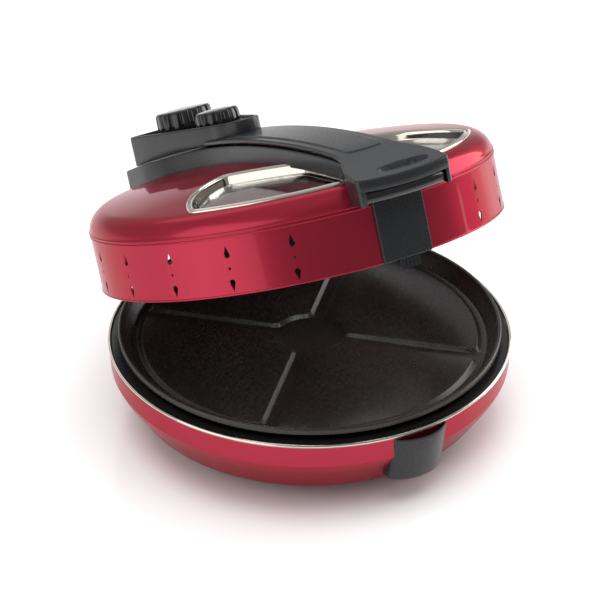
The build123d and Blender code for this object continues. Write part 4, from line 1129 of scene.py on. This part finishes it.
# ================= front grip =================
def base_grip():
    """Curved pocket on the base's front: a shell that leans out toward its top."""
    form = Form()
    width, nose, side, draft = 26.5, 187.5, 177.0, 7.5
    back_y = -150.0
    low, high, wall = 27.0, 72.0, 3.0

    def crescent(push, shrink):
        w = width - shrink
        bow = circle_through((w, -(side - push)), (0.0, -(nose - push - shrink)), (-w, -(side - push)))
        start = degrees(atan2(-(side - push) - bow[1], w - bow[0]))
        return arc(*bow[:2], bow[2], start, -90, 24)

    def ring(push, shrink, z):
        front = crescent(push, shrink)
        w = front[0][0]
        back = [(0.0, back_y), (w, back_y)]
        sides = [(w, back_y), front[0]]
        sides, front = split_corner(sides, front, 2.0)
        plan, corners = outline((back, sides, front), 26, 10)
        return form.loop([(x, y, z) for x, y in plan]), corners

    def push_at(z):
        return draft * (high - z) / (high - low)

    outside = [(2.4, low), (0.9, low + 0.4), (0.2, low + 1.4), (0.0, low + 3.0), (0.0, low + 16),
               (0.0, high - 14), (0.0, high - 1.2), (0.3, high - 0.4), (0.9, high)]
    inside = [(wall - 0.9, high), (wall - 0.3, high - 0.4), (wall, high - 1.2), (wall, high - 16),
              (wall, low + wall + 2), (wall + 1.5, low + wall)]
    previous = None
    for shrink, z in outside + inside:
        ids, corners = ring(push_at(z), shrink, z)
        if previous:
            form.bridge(previous, ids)
        else:
            form.cap(ids, corners, lambda x, y: low)
        previous = ids
    form.cap(previous, corners, lambda x, y: low + wall)
    piece = finish_mesh("front_grip", form.verts, form.faces, HOME, 40)
    return dress(piece, "base_grip")


# ================= build =================
def cad_nodes():
    """CAD parts that keep their own shape get the finish of their slot."""
    for node, piece in frame["nodes"].items():
        piece.data.materials.clear()
        piece.data.materials.append(MATERIALS[SLOT_OF[node]])


def floor():
    """Wide pale floor with a faint gloss."""
    mesh = bpy.data.meshes.new("floor")
    reach = 12.0
    mesh.from_pydata([(-reach, -reach, 0), (reach, -reach, 0), (reach, reach, 0), (-reach, reach, 0)], [],
                     [[0, 1, 2, 3]])
    ground = bpy.data.objects.new("floor", mesh)
    bpy.context.scene.collection.objects.link(ground)
    mat = material("floor_gloss", (0.93, 0.93, 0.93), 0.12, Specular_IOR_Level=0.3)[0]
    mesh.materials.append(mat)


def softbox(name, azimuth, elevation, distance, width, height, power, color=(1, 1, 1)):
    """Area light that faces the object; azimuth 0 is the front, positive to the right."""
    lamp = bpy.data.lights.new(name, "AREA")
    lamp.shape = "RECTANGLE"
    lamp.size, lamp.size_y = width, height
    lamp.energy = power
    lamp.color = color
    holder = bpy.data.objects.new(name, lamp)
    a, e = radians(azimuth), radians(elevation)
    out = Vector((sin(a) * cos(e), -cos(a) * cos(e), sin(e)))
    holder.location = Vector((0, 0, 0.12)) + out * distance
    holder.rotation_mode = "QUATERNION"
    holder.rotation_quaternion = out.to_track_quat("Z", "Y")
    bpy.context.scene.collection.objects.link(holder)
    return holder


def lights():
    """Grey studio: dark in front and to the right, a large box left, a bright side right, pale behind."""
    world = bpy.data.worlds.new("studio")
    world.use_nodes = True
    tree = world.node_tree
    back = tree.nodes["Background"]
    coords = tree.nodes.new("ShaderNodeTexCoord")
    facing = tree.nodes.new("ShaderNodeVectorMath")
    facing.operation = "DOT_PRODUCT"
    facing.inputs[1].default_value = (sin(radians(8)), -cos(radians(8)), -0.05)
    ramp = tree.nodes.new("ShaderNodeValToRGB")
    tree.links.new(coords.outputs["Generated"], facing.inputs[0])
    tree.links.new(facing.outputs["Value"], ramp.inputs["Fac"])
    tones = ((0.0, 0.46), (0.35, 0.34), (0.6, 0.27), (1.0, 0.25))
    for k, (place, tone) in enumerate(tones):
        stop = ramp.color_ramp.elements[k] if k < 2 else ramp.color_ramp.elements.new(place)
        stop.position = place
        stop.color = (tone, tone, tone, 1)
    tree.links.new(ramp.outputs["Color"], back.inputs["Color"])
    bpy.context.scene.world = world
    softbox("key_left", -76, 20, 1.5, 1.46, 1.35, 7.0)
    softbox("right", 88, 20, 1.6, 1.2, 1.1, 12.5)
    softbox("rear", 172, 38, 2.2, 2.0, 0.9, 4.0)
    fill = softbox("fill", 0, 90, 2.2, 2.8, 2.8, 68)
    fill.visible_glossy = False


def camera():
    """Camera in front, to the left and above, aimed at the middle of the griddle."""
    azimuth, elevation, distance = radians(-31.5), radians(31.55), 2.1629
    target = Vector((-0.00083, 0.01514, 0.1))
    back = Vector((sin(azimuth) * cos(elevation), -cos(azimuth) * cos(elevation), sin(elevation)))
    data = bpy.data.cameras.new("camera")
    data.sensor_width = 36.0
    data.lens = 146.487
    eye = bpy.data.objects.new("camera", data)
    eye.location = target + back * distance
    eye.rotation_mode = "QUATERNION"
    eye.rotation_quaternion = (-back).to_track_quat("-Z", "Y")
    data.clip_end = 50
    bpy.context.scene.collection.objects.link(eye)
    bpy.context.scene.camera = eye
    bpy.context.scene.view_settings.view_transform = "Standard"


cad_nodes()
floor()
lights()
camera()

bowl()
rim()
tray()
pan()
base_grip()
lid_shell()
windows()
bridge_base()
bridge_cover()
grip_band()
strap()
control_housing()
dial_plate()
knob("heat_knob_upper", "upper_heat_knob", "upper_heat_turn", *BIG_KNOB)
knob("heat_knob_lower", "lower_heat_knob", "lower_heat_turn", *SMALL_KNOB)
